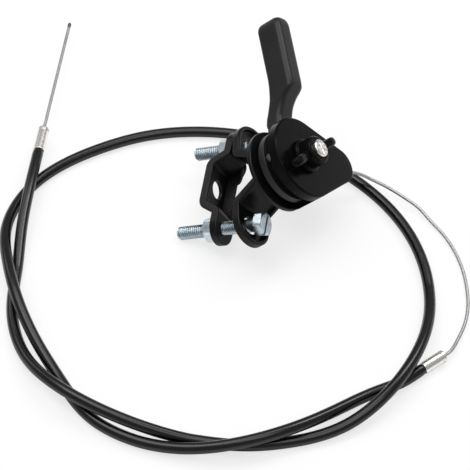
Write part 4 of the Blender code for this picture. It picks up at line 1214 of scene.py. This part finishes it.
class MakeStud(Making):
    """Pivot stud with its staked end"""

    bl_idname = "throttle.stud"
    bl_label = "Pivot stud"

    def make(self, context):
        head_high = BASE_TOP - PLATE_THICKNESS - FIT
        profile = soft_line(
            [(0.0, head_high - 0.0014), (0.0048, head_high - 0.0014), (0.0048, head_high), (0.004, head_high),
             (0.004, STUD_HIGH), (0.0034, STUD_HIGH)],
            (0.0006, 0.0003, 0.0001, 0.0007), 6,
        )
        inner = np.linspace(0.0034, 0.0001, 22)[1:]
        profile = np.concatenate((profile, columns(inner, np.full_like(inner, STUD_HIGH))))
        rings = round_rings(profile[:, :1], profile[:, 1:], whole_turn(128))
        end = len(profile) - len(inner)
        x, y = rings[end:, :, 0], rings[end:, :, 1]
        groove = np.zeros_like(x)
        for spoke in (20.0, 65.0, 110.0, 155.0):
            c, s = math.cos(math.radians(spoke)), math.sin(math.radians(spoke))
            across = np.abs(x * s - y * c)
            depth = np.clip(1.0 - across / 0.00042, 0.0, 1.0) * np.clip((0.0029 - np.hypot(x, y)) / 0.0004, 0.0, 1.0)
            groove = np.maximum(groove, depth)
        rings[end:, :, 2] -= 0.00045 * groove
        stud = shaped("stud", capped(rings, (0.0, 0.0, head_high - 0.0014), (0.0, 0.0, STUD_HIGH - 0.00045)), HUB_PLACE)
        finished(stud, finish_of("bright_nickel"), HOUSING, ["pivot_stud"])


STEPS = (
    MakeStage, MakeFerrules, MakeBareWire, MakeSheath, MakeTail, MakeBolts, MakeNuts, MakeClamp, MakePlates,
    MakeLever, MakeWrap, MakeCover, MakeWingNut, MakeStud,
)


class ThrottlePanel(bpy.types.Panel):
    """Lists the steps that make the throttle"""

    bl_idname = "VIEW3D_PT_throttle"
    bl_label = "Throttle"
    bl_space_type = "VIEW_3D"
    bl_region_type = "UI"
    bl_category = "Throttle"

    def draw(self, context):
        column = self.layout.column(align=True)
        for step in STEPS:
            column.operator(step.bl_idname)
        column = self.layout.column()
        for name in ThrottleSettings.__annotations__:
            column.prop(context.scene.throttle, name)


CLASSES = (ThrottleSettings, *STEPS, ThrottlePanel)


def register():
    for made in CLASSES:
        bpy.utils.register_class(made)
    bpy.types.Scene.throttle = bpy.props.PointerProperty(type=ThrottleSettings)


def unregister():
    del bpy.types.Scene.throttle
    for made in reversed(CLASSES):
        bpy.utils.unregister_class(made)


def main():
    register()
    for step in STEPS:
        group, action = step.bl_idname.split(".")
        getattr(getattr(bpy.ops, group), action)()


if __name__ == "__main__":
    main()
